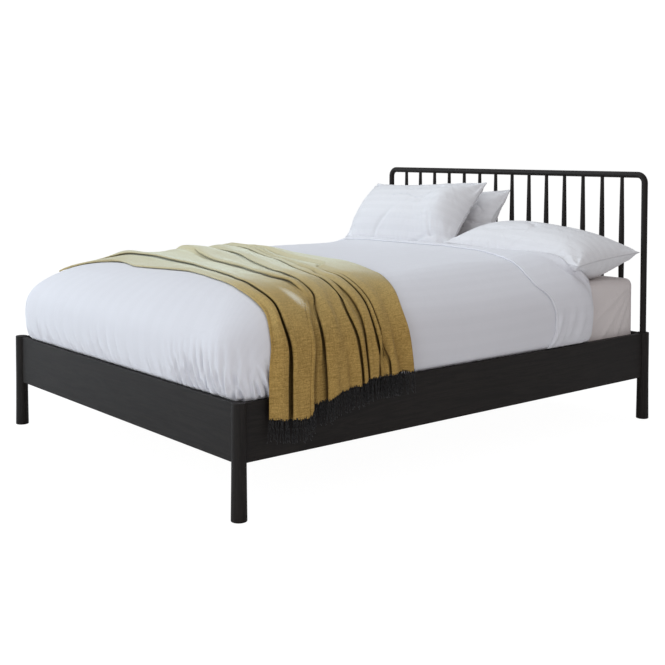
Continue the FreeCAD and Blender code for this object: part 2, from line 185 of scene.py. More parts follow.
def wood(name, along, dark, light, pore, rough=0.5, spec=0.42, grain=1.0, seed=0.0, turn=None, wear_and_highlight=0.0):
    """Open-pored timber whose grain runs along X, Y or Z; with turn=(x, z) it runs along Z in the upright parts beyond x and below z."""
    m, nt, p = new_mat(name)
    base = coords(nt)
    if turn:
        sp = nt.nodes.new("ShaderNodeSeparateXYZ")
        nt.links.new(base, sp.inputs[0])
        upright = maths(nt, "MULTIPLY", maths(nt, "GREATER_THAN", maths(nt, "ABSOLUTE", sp.outputs[0]), turn[0]), maths(nt, "LESS_THAN", sp.outputs[2], turn[1]))
        cb = nt.nodes.new("ShaderNodeCombineXYZ")
        for i_, k_ in enumerate((2, 1, 0)):
            nt.links.new(sp.outputs[k_], cb.inputs[i_])
        base = mix_rgb(nt, upright, base, cb.outputs[0])
    shift = nt.nodes.new("ShaderNodeVectorMath")
    shift.operation = "ADD"
    shift.inputs[1].default_value = (seed, seed * 1.7, seed * 0.6)
    nt.links.new(base, shift.inputs[0])
    pick = {"X": (0, 1, 1), "Y": (1, 0, 1), "Z": (1, 1, 0)}[along]
    long_ = tuple(1.0 if v else 0.045 for v in pick)
    fine_ = tuple(1.0 if v else 0.018 for v in pick)
    # cathedral figure: broad bands that wander slowly along the board
    broad = noise_tex(nt, mapped(nt, shift.outputs[0], long_), 26, 3, 0.5, 0.9)
    rings = maths(nt, "FRACT", maths(nt, "MULTIPLY", broad, 9.0))
    rings = maths(nt, "PINGPONG", rings, 0.5)
    fine = noise_tex(nt, mapped(nt, shift.outputs[0], fine_), 420, 3, 0.6)
    pores = noise_tex(nt, mapped(nt, shift.outputs[0], tuple(1.0 if v else 0.035 for v in pick)), 900, 2, 0.5)
    pore_mask = ramp(nt, pores, [(0.30, (0, 0, 0)), (0.42, (1, 1, 1))]).outputs[0]
    tone = maths(nt, "ADD", maths(nt, "MULTIPLY", rings, 0.7), maths(nt, "MULTIPLY", fine, 0.65))
    col = ramp(nt, tone, [(0.22, dark), (0.78, light)]).outputs[0]
    cloudy = noise_tex(nt, base, 3.1, 2, 0.5)
    col = mix_rgb(nt, maths(nt, "MULTIPLY", cloudy, 0.35), col, dark)
    col = mix_rgb(nt, pore_mask, pore, col)
    r = maths(nt, "ADD", rough - 0.08, maths(nt, "MULTIPLY", fine, 0.18))
    p.inputs["Specular IOR Level"].default_value = spec
    h = maths(nt, "ADD", maths(nt, "MULTIPLY", pore_mask, 0.6), maths(nt, "MULTIPLY", fine, 0.5))
    soft_edge = None
    if wear_and_highlight > 0:
        # edges: paler and smoother in patches, partly as wear and partly as a painted highlight along the edge, and
        # eased by the bevel so that they catch the light
        bev = nt.nodes.new("ShaderNodeBevel")
        bev.samples = 4
        bev.inputs["Radius"].default_value = 0.0022
        geo = nt.nodes.new("ShaderNodeNewGeometry")
        dot = nt.nodes.new("ShaderNodeVectorMath")
        dot.operation = "DOT_PRODUCT"
        nt.links.new(bev.outputs[0], dot.inputs[0])
        nt.links.new(geo.outputs["Normal"], dot.inputs[1])
        worn_and_lit = ramp(nt, dot.outputs["Value"], [(0.80, (1, 1, 1)), (0.985, (0, 0, 0))]).outputs[0]
        patch = ramp(nt, noise_tex(nt, base, 14.0, 3, 0.6), [(0.40, (0.25, 0.25, 0.25)), (0.62, (1, 1, 1))]).outputs[0]
        worn_and_lit = maths(nt, "MULTIPLY", maths(nt, "MULTIPLY", worn_and_lit, patch), wear_and_highlight)
        col = mix_rgb(nt, worn_and_lit, col, tuple(c * 3.4 for c in light))
        r = maths(nt, "SUBTRACT", r, maths(nt, "MULTIPLY", worn_and_lit, 0.15))
        soft_edge = bev.outputs[0]
    nt.links.new(col, p.inputs["Base Color"])
    nt.links.new(r, p.inputs["Roughness"])
    nt.links.new(bump(nt, h, 0.35 * grain, 0.0006, soft_edge), p.inputs["Normal"])
    return m


def metal(name, colour, rough):
    m, nt, p = new_mat(name)
    base = coords(nt)
    n1 = noise_tex(nt, base, 55, 4, 0.6)
    n2 = noise_tex(nt, base, 700, 2, 0.5)
    col = mix_rgb(nt, n1, colour, tuple(c * 0.72 for c in colour))
    nt.links.new(col, p.inputs["Base Color"])
    p.inputs["Metallic"].default_value = 1.0
    nt.links.new(maths(nt, "ADD", rough, maths(nt, "MULTIPLY", n1, 0.18)), p.inputs["Roughness"])
    nt.links.new(bump(nt, n2, 0.25, 0.0002), p.inputs["Normal"])
    return m


def plastic(name, colour, rough):
    m, nt, p = new_mat(name)
    base = coords(nt)
    n1 = noise_tex(nt, base, 30, 3, 0.5)
    n2 = noise_tex(nt, base, 1500, 1, 0.5)
    nt.links.new(mix_rgb(nt, n1, colour, tuple(c * 1.5 for c in colour)), p.inputs["Base Color"])
    nt.links.new(maths(nt, "ADD", rough, maths(nt, "MULTIPLY", n1, 0.12)), p.inputs["Roughness"])
    nt.links.new(bump(nt, n2, 0.3, 0.0001), p.inputs["Normal"])
    return m


def cotton(name, colour, stripe_axis=None, stripe=0.0, pitch=0.03, rough=0.78, sheen=0.25, use_uv=True, sss=0.0, crease=0.0):
    """Woven cotton; with a satin stripe where stripe is above 0. UVs are in metres."""
    m, nt, p = new_mat(name)
    uv = coords(nt, "UV" if use_uv else "Object")
    obj = coords(nt)
    warp = noise_tex(nt, mapped(nt, uv, (1400, 90, 90)), 1.0, 2, 0.5)
    weft = noise_tex(nt, mapped(nt, uv, (90, 1400, 90)), 1.0, 2, 0.5)
    weave = maths(nt, "MULTIPLY", maths(nt, "ADD", warp, weft), 0.5)
    cloud = noise_tex(nt, obj, 5.0, 3, 0.55)
    slub = noise_tex(nt, mapped(nt, uv, (30, 320, 30)), 1.0, 3, 0.6)
    tone = maths(nt, "ADD", maths(nt, "MULTIPLY", cloud, 0.6), maths(nt, "MULTIPLY", slub, 0.4))
    col = mix_rgb(nt, tone, tuple(c * 0.955 for c in colour), colour)
    rgh = maths(nt, "ADD", rough, maths(nt, "MULTIPLY", weave, 0.08))
    h = weave
    if stripe > 0:
        sep = nt.nodes.new("ShaderNodeSeparateXYZ")
        nt.links.new(uv, sep.inputs[0])
        axis = sep.outputs[0 if stripe_axis == "U" else 1]
        saw = maths(nt, "FRACT", maths(nt, "DIVIDE", axis, pitch))
        tri = maths(nt, "PINGPONG", maths(nt, "MULTIPLY", saw, 2.0), 1.0)
        band = ramp(nt, tri, [(0.47, (0, 0, 0)), (0.53, (1, 1, 1))]).outputs[0]
        col = mix_rgb(nt, maths(nt, "MULTIPLY", band, stripe), col, tuple(c * 0.90 for c in colour))
        rgh = maths(nt, "SUBTRACT", rgh, maths(nt, "MULTIPLY", band, 0.33 * min(1.0, stripe * 2)))
        h = maths(nt, "SUBTRACT", weave, maths(nt, "MULTIPLY", band, 0.25))
    if crease:
        # painted shade: the cotton's colour is darkened inside its folds
        col, _ = hollows(nt, col, 0.022, 0.55, tuple(c * k_ for c, k_ in zip(colour, (0.50, 0.53, 0.60))))
    nt.links.new(col, p.inputs["Base Color"])
    nt.links.new(rgh, p.inputs["Roughness"])
    p.inputs["Specular IOR Level"].default_value = 0.28
    p.inputs["Sheen Weight"].default_value = sheen
    p.inputs["Sheen Roughness"].default_value = 0.45
    if sss:
        p.inputs["Subsurface Weight"].default_value = sss
        p.inputs["Subsurface Radius"].default_value = (0.01, 0.009, 0.008)
        p.inputs["Subsurface Scale"].default_value = 0.6
    nrm = None
    if crease:
        c1 = noise_tex(nt, mapped(nt, obj, (1.0, 1.0, 0.55), (0.2, 0.5, 0.3)), 7.5, 3, 0.5, 1.4)
        c1 = maths(nt, "ABSOLUTE", maths(nt, "SUBTRACT", c1, 0.5))
        c1 = ramp(nt, c1, [(0.0, (1, 1, 1)), (0.16, (0, 0, 0))]).outputs[0]
        nrm = bump(nt, c1, crease, 0.006)
    nt.links.new(bump(nt, h, 0.22, 0.0004, nrm), p.inputs["Normal"])
    return m


def twill(name, dark, light, patch=None):
    """Soft wool twill: fine diagonal rib, fluffy sheen. UVs are in metres."""
    m, nt, p = new_mat(name)
    uv = coords(nt, "UV")
    obj = coords(nt)
    rot_ = mapped(nt, uv, (1, 1, 1), (0, 0, math.radians(38)))
    wave = nt.nodes.new("ShaderNodeTexWave")
    wave.wave_type = "BANDS"
    wave.inputs["Scale"].default_value = 95.0
    wave.inputs["Distortion"].default_value = 1.2
    wave.inputs["Detail"].default_value = 2.0
    wave.inputs["Detail Scale"].default_value = 2.0
    nt.links.new(rot_, wave.inputs["Vector"])
    yarn = noise_tex(nt, mapped(nt, uv, (700, 60, 60)), 1.0, 2, 0.5)
    weft = noise_tex(nt, mapped(nt, uv, (60, 700, 60)), 1.0, 2, 0.5)
    cloud = noise_tex(nt, obj, 7.0, 4, 0.6)
    t = maths(nt, "ADD", maths(nt, "MULTIPLY", wave.outputs["Fac"], 0.30), maths(nt, "MULTIPLY", yarn, 0.30))
    t = maths(nt, "ADD", t, maths(nt, "MULTIPLY", weft, 0.22))
    t = maths(nt, "ADD", t, maths(nt, "MULTIPLY", cloud, 0.26))
    # heavier picks and ends of the weave, a few millimetres apart
    picks = noise_tex(nt, mapped(nt, uv, (22, 260, 22)), 1.0, 2, 0.55)
    ends_ = noise_tex(nt, mapped(nt, uv, (230, 30, 30)), 1.0, 2, 0.55)
    speck = noise_tex(nt, mapped(nt, uv, (190, 190, 190)), 1.0, 2, 0.6)
    t = maths(nt, "ADD", t, maths(nt, "MULTIPLY", maths(nt, "SUBTRACT", picks, 0.5), 0.70))
    t = maths(nt, "ADD", t, maths(nt, "MULTIPLY", maths(nt, "SUBTRACT", ends_, 0.5), 0.40))
    t = maths(nt, "ADD", t, maths(nt, "MULTIPLY", maths(nt, "SUBTRACT", speck, 0.5), 0.75))
    col = ramp(nt, t, [(0.22, dark), (0.82, light)]).outputs[0]
    # painted light: the throw's top, high up and towards the far side, is painted paler and yellower where the light
    # falls on it
    sepo = nt.nodes.new("ShaderNodeSeparateXYZ")
    nt.links.new(obj, sepo.inputs[0])
    high = ramp(nt, sepo.outputs[2], [(0.500, (0, 0, 0)), (0.690, (1, 1, 1))]).outputs[0]
    over = maths(nt, "ADD", maths(nt, "MULTIPLY", maths(nt, "ADD", sepo.outputs[0], 0.8), 0.5), maths(nt, "MULTIPLY", maths(nt, "SUBTRACT", cloud, 0.5), 0.15))
    across = ramp(nt, over, [(0.50, (1, 1, 1)), (0.97, (0.0, 0.0, 0.0))]).outputs[0]
    painted_top_light = maths(nt, "MULTIPLY", high, across)
    painted_top_light_sq = maths(nt, "MULTIPLY", painted_top_light, painted_top_light)
    pale = mix_rgb(nt, painted_top_light_sq, mix_rgb(nt, maths(nt, "MULTIPLY", speck, 0.8), (0.44, 0.345, 0.125), (0.80, 0.665, 0.31)),
                   mix_rgb(nt, maths(nt, "MULTIPLY", speck, 0.8), (0.54, 0.495, 0.29), (0.92, 0.87, 0.64)))
    col = mix_rgb(nt, maths(nt, "MULTIPLY", painted_top_light, 0.85), col, pale)
    if patch is not None:
        # painted highlight: the crest of one fold is painted pale, where the light catches it
        size = (11.5, 44.0, 11.5)
        far_ = nt.nodes.new("ShaderNodeVectorMath")
        far_.operation = "DISTANCE"
        nt.links.new(mapped(nt, obj, size), far_.inputs[0])
        far_.inputs[1].default_value = tuple(float(c) * k_ for c, k_ in zip(patch, size))
        painted_highlight = ramp(nt, maths(nt, "ADD", far_.outputs["Value"], maths(nt, "MULTIPLY", maths(nt, "SUBTRACT", speck, 0.5), 1.6)), [(0.20, (1, 1, 1)), (1.15, (0, 0, 0))]).outputs[0]
        col = mix_rgb(nt, maths(nt, "MULTIPLY", painted_highlight, 0.72), col, (0.93, 0.89, 0.72))
    # painted shade: the colour is darkened inside the folds, less so on the painted-light top
    col, fold_shade = hollows(nt, col, 0.055, 0.86, tuple(c * 0.22 for c in dark), maths(nt, "SUBTRACT", 1.0, maths(nt, "MULTIPLY", painted_top_light, 0.62)))
    nt.links.new(col, p.inputs["Base Color"])
    p.inputs["Roughness"].default_value = 0.88
    p.inputs["Specular IOR Level"].default_value = 0.15
    # the sheen follows the painted top light and fades in the painted fold shade
    nt.links.new(maths(nt, "MULTIPLY", maths(nt, "ADD", 0.08, maths(nt, "MULTIPLY", painted_top_light_sq, 0.92)), maths(nt, "SUBTRACT", 1.0, fold_shade, True)), p.inputs["Sheen Weight"])
    p.inputs["Sheen Roughness"].default_value = 0.34
    p.inputs["Sheen Tint"].default_value = (0.90, 0.96, 0.84, 1)
    h = maths(nt, "ADD", maths(nt, "MULTIPLY", wave.outputs["Fac"], 0.6), maths(nt, "MULTIPLY", yarn, 0.5))
    nt.links.new(bump(nt, h, 0.35, 0.0007), p.inputs["Normal"])
    return m


def yarn_mat(name, colour):
    m, nt, p = new_mat(name)
    obj = coords(nt)
    tw = nt.nodes.new("ShaderNodeTexWave")
    tw.bands_direction = "DIAGONAL"
    tw.inputs["Scale"].default_value = 190.0
    tw.inputs["Distortion"].default_value = 1.0
    nt.links.new(obj, tw.inputs["Vector"])
    n1 = noise_tex(nt, obj, 60, 3, 0.6)
    col = mix_rgb(nt, n1, colour, tuple(c * 2.1 for c in colour))
    nt.links.new(col, p.inputs["Base Color"])
    p.inputs["Roughness"].default_value = 0.85
    p.inputs["Sheen Weight"].default_value = 0.25
    p.inputs["Specular IOR Level"].default_value = 0.2
    nt.links.new(bump(nt, tw.outputs["Fac"], 0.5, 0.0006), p.inputs["Normal"])
    return m


# ---------------------------------------------------------------- hard parts: finishes
OAK_D, OAK_L, OAK_P = (0.0092, 0.0072, 0.0060), (0.0235, 0.0190, 0.0160), (0.0040, 0.0033, 0.0029)
oak = {a: wood("black_oak_" + a.lower(), a, OAK_D, OAK_L, OAK_P, rough=0.52, spec=0.24, wear_and_highlight=0.55) for a in "XYZ"}
oak["hoop"] = wood("black_oak_hoop", "X", OAK_D, OAK_L, OAK_P, rough=0.52, spec=0.24, turn=(0.70, 0.99))
PINE_D, PINE_L, PINE_P = (0.47, 0.30, 0.155), (0.66, 0.47, 0.28), (0.34, 0.20, 0.10)
pine = {a: wood("pine_" + a.lower(), a, PINE_D, PINE_L, PINE_P, rough=0.62, spec=0.3, grain=0.6, seed=2.3) for a in "XYZ"}
steel = metal("bracket_steel", (0.42, 0.42, 0.43), 0.34)
zinc = metal("zinc_steel", (0.62, 0.62, 0.60), 0.26)
black_plastic = plastic("black_plastic", (0.018, 0.018, 0.019), 0.42)


def finish_of(name):
    if name.startswith("leg_bolts") or name.startswith("leg_nuts") or name.endswith("screws"):
        return zinc
    if name.startswith("corner_bracket"):
        return steel
    if name.startswith("levelling"):
        return black_plastic
    if name.startswith("leg_") or name.startswith("spindle"):
        return oak["Z"]
    if name.startswith("side_rail"):
        return oak["Y"]
    if name == "headboard_hoop":
        return oak["hoop"]
    if name.endswith("_panel"):
        return oak["X"]
    if name.startswith("slat"):
        return pine["X"]
    if name.startswith("ledger") or name.startswith("centre_beam"):
        return pine["Y"]
    return pine["Z"]


for name, o in NODES.items():
    mat = finish_of(name)
    if not o.material_slots:
        o.data.materials.append(mat)
    for s in o.material_slots:
        s.material = mat



# ---------------------------------------------------------------- mesh helpers
def smoothstep(a, b, x):
    t = np.clip((np.asarray(x, float) - a) / (b - a), 0, 1)
    return t * t * (3 - 2 * t)


def noise3(pts, scale, seed=0.0):
    """Smooth noise in about -1 to 1 at each point."""
    flat = np.asarray(pts, float).reshape(-1, 3) * scale + seed
    out = np.fromiter((noise.noise(Vector(q)) for q in flat), float, len(flat))
    return out.reshape(np.asarray(pts).shape[:-1])


def make_obj(name, verts, faces, mat, uv=None, smooth=True):
    me = bpy.data.meshes.new(name)
    me.from_pydata([tuple(v) for v in np.asarray(verts, float)], [], [tuple(int(i) for i in f) for f in faces])
    me.update()
    if uv is not None:
        layer = me.uv_layers.new(name="UVMap")
        idx = np.zeros(len(me.loops), np.int64)
        me.loops.foreach_get("vertex_index", idx)
        layer.data.foreach_set("uv", np.asarray(uv, float)[idx].astype(np.float32).ravel())
    me.materials.append(mat)
    if smooth:
        me.polygons.foreach_set("use_smooth", np.ones(len(me.polygons), bool))
    o = bpy.data.objects.new(name, me)
    scene.collection.objects.link(o)
    return o


def fix_normals(o):
    import bmesh
    bm = bmesh.new()
    bm.from_mesh(o.data)
    bmesh.ops.recalc_face_normals(bm, faces=bm.faces)
    bm.to_mesh(o.data)
    bm.free()
    o.data.update()


def bvh_of(o):
    dg = bpy.context.evaluated_depsgraph_get()
    return BVHTree.FromObject(o, dg)


def grid_faces(nu, nv, closed_u=False, start=0):
    i = np.arange(nu if closed_u else nu - 1)
    j = np.arange(nv - 1)
    I, J = np.meshgrid(i, j, indexing="ij")
    I2 = (I + 1) % nu
    f = np.stack([I * nv + J, I2 * nv + J, I2 * nv + J + 1, I * nv + J + 1], -1).reshape(-1, 4)
    return f + start


def normals_of(P, closed_u=False):
    if closed_u:
        du = np.roll(P, -1, 0) - np.roll(P, 1, 0)
    else:
        du = np.gradient(P, axis=0)
    dv = np.gradient(P, axis=1)
    n = np.cross(du, dv)
    return n / (np.linalg.norm(n, axis=-1, keepdims=True) + 1e-12)


def relax(P, Lu, Lv, W, iters, press=None, closed_u=False, bend=0.03, shear=0.4, stiff=1.0, squeeze=0.8, post=None, sign=1.0):
    """A small cloth solver on a grid: lengths along and across the weave are kept, bending is damped, and pressure pushes along the normals.
    W is 0 at held points and 1 at free ones. Colour by colour, so that it is the same each run."""
    P = P.copy()
    nu, nv = P.shape[:2]
    Ld = np.sqrt(Lu[: nu if closed_u else nu - 1, :-1] ** 2 + Lv[: (nu if closed_u else nu - 1)] ** 2)
    ui = [np.arange(s, nu if closed_u else nu - 1, 2) for s in (0, 1)]
    if closed_u and nu % 2:
        raise ValueError("closed grids need an even count")
    vj = [np.arange(s, nv - 1, 2) for s in (0, 1)]

    def solve(a, b, L, k):
        A, B = P[a], P[b]
        wa, wb = W[a], W[b]
        d = B - A
        l = np.sqrt((d * d).sum(-1)) + 1e-12
        stretch = (l - L) / l
        c = k * np.where(stretch > 0, stiff, squeeze) * stretch / (wa + wb + 1e-9)
        P[a] = A + d * (c * wa)[..., None]
        P[b] = B - d * (c * wb)[..., None]

    rows, cols = np.arange(nu), np.arange(nv)
    for it in range(iters):
        if press is not None:
            P += normals_of(P, closed_u) * (sign * press * W)[..., None]
        for u in ui:
            u2 = (u + 1) % nu
            solve(np.ix_(u, cols), np.ix_(u2, cols), Lu[np.ix_(u, cols)], 1.0)
        for v in vj:
            solve(np.ix_(rows, v), np.ix_(rows, v + 1), Lv[np.ix_(rows, v)], 1.0)
        if shear:
            for u in ui:
                u2 = (u + 1) % nu
                j = np.arange(nv - 1)
                solve(np.ix_(u, j), np.ix_(u2, j + 1), Ld[np.ix_(u, j)], shear)
                solve(np.ix_(u2, j), np.ix_(u, j + 1), Ld[np.ix_(u, j)], shear)
        if bend:
            if closed_u:
                avg_u = (np.roll(P, 1, 0) + np.roll(P, -1, 0)) / 2
            else:
                avg_u = P.copy()
                avg_u[1:-1] = (P[:-2] + P[2:]) / 2
            avg_v = P.copy()
            avg_v[:, 1:-1] = (P[:, :-2] + P[:, 2:]) / 2
            P += ((avg_u + avg_v) / 2 - P) * (bend * W)[..., None]
        if post is not None:
            post(P, it)
    return P


def lengths(P, closed_u=False):
    nxt = np.roll(P, -1, 0) if closed_u else P[1:]
    cur = P if closed_u else P[:-1]
    return np.linalg.norm(nxt - cur, axis=-1), np.linalg.norm(P[:, 1:] - P[:, :-1], axis=-1)


def outline(x0, x1, y0, y1, radii, nx, ny):
    """A rounded rectangle as 2*(nx+ny) points, anticlockwise from the middle of the corner at (x0, y0). radii: (x0y0, x1y0, x1y1, x0y1)."""
    corners = [(x0, y0, 1, 1), (x1, y0, -1, 1), (x1, y1, -1, -1), (x0, y1, 1, -1)]
    start_angle = [225, 315, 45, 135]
    pts = []
    for k in range(4):
        r0, r1 = radii[k], radii[(k + 1) % 4]
        cx, cy, sx, sy = corners[k]
        dx, dy, tx, ty = corners[(k + 1) % 4]
        c0 = np.array([cx + sx * r0, cy + sy * r0])
        c1 = np.array([dx + tx * r1, dy + ty * r1])
        path = []
        for a in np.linspace(start_angle[k], start_angle[k] + 45, 9):
            path.append(c0 + r0 * np.array([math.cos(math.radians(a)), math.sin(math.radians(a))]))
        for a in np.linspace(start_angle[k] + 45, start_angle[k] + 90, 9):
            path.append(c1 + r1 * np.array([math.cos(math.radians(a)), math.sin(math.radians(a))]))
        path = np.array(path)
        seg = np.concatenate([[0], np.cumsum(np.linalg.norm(np.diff(path, axis=0), axis=1) + 1e-9)])
        n = nx if k % 2 == 0 else ny
        s = np.linspace(0, seg[-1], n + 1)[:-1]
        pts.append(np.stack([np.interp(s, seg, path[:, 0]), np.interp(s, seg, path[:, 1])], -1))
    return np.concatenate(pts)


def boundary_ids(nx, ny):
    """Grid indices (i, j) round the edge of an (nx+1) by (ny+1) grid, in outline()'s order."""
    ids = [(i, 0) for i in range(nx)] + [(nx, j) for j in range(ny)]
    ids += [(i, ny) for i in range(nx, 0, -1)] + [(0, j) for j in range(ny, 0, -1)]
    return np.array(ids)


# ---------------------------------------------------------------- mattress and fitted sheet
def ease_foot(P, out=0.7512, end=1.0012):
    """The two foot corners of the mattress are pressed rounder towards the top, where the duvet wraps them."""
    z = P[..., 2]
    inset = np.where(z > 0.5585, 0.030 - np.sqrt(np.clip(0.030 ** 2 - (z - 0.5585) ** 2, 0, None)), 0.0)
    r = 0.042 + 0.138 * smoothstep(0.46, 0.555, z)
    cx, cy = out - r, end - r
    vx, vy = np.abs(P[..., 0]) - cx, -P[..., 1] - cy
    rr = np.maximum(r - inset, 0.02)
    d_ = np.hypot(vx, vy)
    k = np.where((vx > 0) & (vy > 0) & (d_ > rr) & (z > 0.455), rr / np.maximum(d_, 1e-6), 1.0)
    P[..., 0] = np.where(k < 1, np.sign(P[..., 0]) * (cx + vx * k), P[..., 0])
    P[..., 1] = np.where(k < 1, -(cy + vy * k), P[..., 1])
    return P


def rounded_slab(x, y0, y1, z0, z1, rc, re, nx, ny, n_side, name, mat, tuck=0.0, wrinkle=None):
    """A slab of bedding: a top grid, a rolled edge, its sides and an underside ring."""
    N = 2 * (nx + ny)
    ids = boundary_ids(nx, ny)
    xs = np.linspace(-(x - re), x - re, nx + 1)
    ys = np.linspace(y0 + re, y1 - re, ny + 1)
    X, Y = np.meshgrid(xs, ys, indexing="ij")
    top = np.stack([X, Y, np.full_like(X, z1)], -1)
    inner = top[ids[:, 0], ids[:, 1], :2]
    outer = outline(-x, x, y0, y1, (rc,) * 4, nx, ny)
    rings = []
    for t in np.linspace(0, 90, 7)[1:]:
        a = math.radians(t)
        rings.append(np.c_[inner + (outer - inner) * math.sin(a), np.full(N, z1 - re + re * math.cos(a))])
    for z in np.linspace(z1 - re, z0 + 0.02, n_side)[1:]:
        rings.append(np.c_[outer, np.full(N, z)])
    for t in np.linspace(0, 90, 4)[1:]:
        a = math.radians(t)
        rings.append(np.c_[outer + (inner - outer) * (1 - math.cos(a)) * 0.6, np.full(N, z0 + 0.02 - 0.02 * math.sin(a))])
    if tuck:
        mid = np.array([0.0, (y0 + y1) / 2])
        d = outer - mid
        rings.append(np.c_[outer - d / np.linalg.norm(d, axis=1, keepdims=True) * tuck, np.full(N, z0 - 0.0005)])
    R = np.stack(rings, 1)
    if wrinkle is not None:
        top, R = wrinkle(top, R, outer)
    verts = np.concatenate([top.reshape(-1, 3), R.reshape(-1, 3)])
    faces = list(grid_faces(nx + 1, ny + 1))
    off = (nx + 1) * (ny + 1)
    first = ids[:, 0] * (ny + 1) + ids[:, 1]
    nr = R.shape[1]
    for k in range(N):
        k2 = (k + 1) % N
        faces.append((first[k], off + k * nr, off + k2 * nr, first[k2]))
    faces += list(grid_faces(N, nr, True, off))
    if not tuck:
        faces.append(tuple(off + k * nr + nr - 1 for k in range(N)))
    arc = np.concatenate([[0], np.cumsum(np.linalg.norm(np.diff(outer, axis=0), axis=1))])
    uv_top = top[..., :2].reshape(-1, 2)
    uv_side = np.stack([np.repeat(arc[:, None], nr, 1), R[..., 2]], -1).reshape(-1, 2)
    o = make_obj(name, verts, faces, mat, np.concatenate([uv_top, uv_side]))
    fix_normals(o)
    return o


ticking = cotton("mattress_ticking", (0.74, 0.73, 0.70), "U", 0.7, 0.016, rough=0.85, sheen=0.1)
sheet_mat = cotton("sheet_cotton", (0.80, 0.738, 0.714), rough=0.80, sheen=0.15, crease=0.15)


def mattress_detail(top, R, outer):
    z = R[..., 2]
    puff = 0.0035 * np.sin(np.clip((z - 0.335) / 0.235, 0, 1) * math.pi)
    n = outer / np.linalg.norm(outer, axis=1, keepdims=True)
    R[..., :2] -= n[:, None, :] * (0.006 - puff)[..., None]
    return ease_foot(top, 0.7465, 0.9965), ease_foot(R, 0.7465, 0.9965)


mattress = rounded_slab(0.7485, -0.9985, 0.9985, 0.3190, 0.5865, 0.04, 0.022, 60, 80, 10, "mattress_core", ticking, wrinkle=mattress_detail)
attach(mattress, "mattress")
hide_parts("mattress")


def sheet_wrinkles(top, R, outer):
    top, R = ease_foot(top), ease_foot(R)
    z = R[..., 2]
    P = R.copy()
    nrm = np.zeros((len(outer), 2))
    d = np.roll(outer, -1, 0) - np.roll(outer, 1, 0)
    nrm[:, 0], nrm[:, 1] = d[:, 1], -d[:, 0]
    nrm /= np.linalg.norm(nrm, axis=1, keepdims=True)
    # creases that fan from the two head corners down the sides
    amp = np.zeros(z.shape)
    for cx in (-0.7505, 0.7505):
        for k, (slope, strength) in enumerate([(0.55, 1.0), (1.0, 0.8), (1.7, 1.0), (2.8, 0.7)]):
            along_y = 1.0005 - P[..., 1]
            drop = 0.585 - z
            on_side = (np.abs(P[..., 0] - cx) < 0.02)
            line = drop - slope * along_y
            width = 0.006 + 0.03 * along_y
            amp += on_side * strength * 0.0075 * np.exp(-(line / width) ** 2) * smoothstep(0.01, 0.06, along_y) * smoothstep(0.42, 0.15, along_y)
            along_x = np.abs(cx - P[..., 0])
            on_end = P[..., 1] > 0.985
            line = drop - slope * along_x
            amp += on_end * strength * 0.0060 * np.exp(-(line / (0.006 + 0.03 * along_x)) ** 2) * smoothstep(0.01, 0.06, along_x) * smoothstep(0.42, 0.15, along_x)
    amp += 0.0011 * noise3(R * np.array([1, 1, 0.6]), 9.0, 3.1)
    amp += 0.0009 * np.abs(np.sin(np.arange(len(outer)) * 0.55))[:, None] * smoothstep(0.40, 0.335, z)
    R[..., :2] += nrm[:, None, :] * np.minimum(np.clip(amp, -0.001, 0.0085), np.where(z > 0.372, 0.0085, 0.0040))[..., None]
    n = noise3(top * np.array([1, 1, 0]), 5.0, 8.0)
    top[..., 2] += 0.0010 * n
    return top, R


sheet = rounded_slab(0.7512, -1.0012, 1.0012, 0.3180, 0.5885, 0.042, 0.030, 150, 190, 26, "fitted_sheet_cloth", sheet_mat, tuck=0.12, wrinkle=sheet_wrinkles)
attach(sheet, "mattress")
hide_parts("fitted_sheet")


# ---------------------------------------------------------------- duvet
Z_RAIL = 0.359
NX, NY = 168, 186
Y_FOOT, Y_HEAD = -1.045, 0.690
X_SIDE = 0.781
Z_EQ = 0.485


def duvet_top(x, y):
    """Height of the duvet's upper face away from its rolled edges."""
    z = 0.660 + 0.018 * smoothstep(-0.75, 0.15, y)
    z = z + 0.014 * (1 - (x / 0.8) ** 2)
    z = z + 0.020 * smoothstep(0.40, 0.66, y)
    return z


def band_edge_y(x):
    """The line across the top where the turned-back band ends."""
    return np.interp(x, [-0.80, -0.63, -0.28, 0.07, 0.30, 0.50, 0.66, 0.80], [0.56, 0.535, 0.535, 0.555, 0.535, 0.460, 0.392, 0.372])


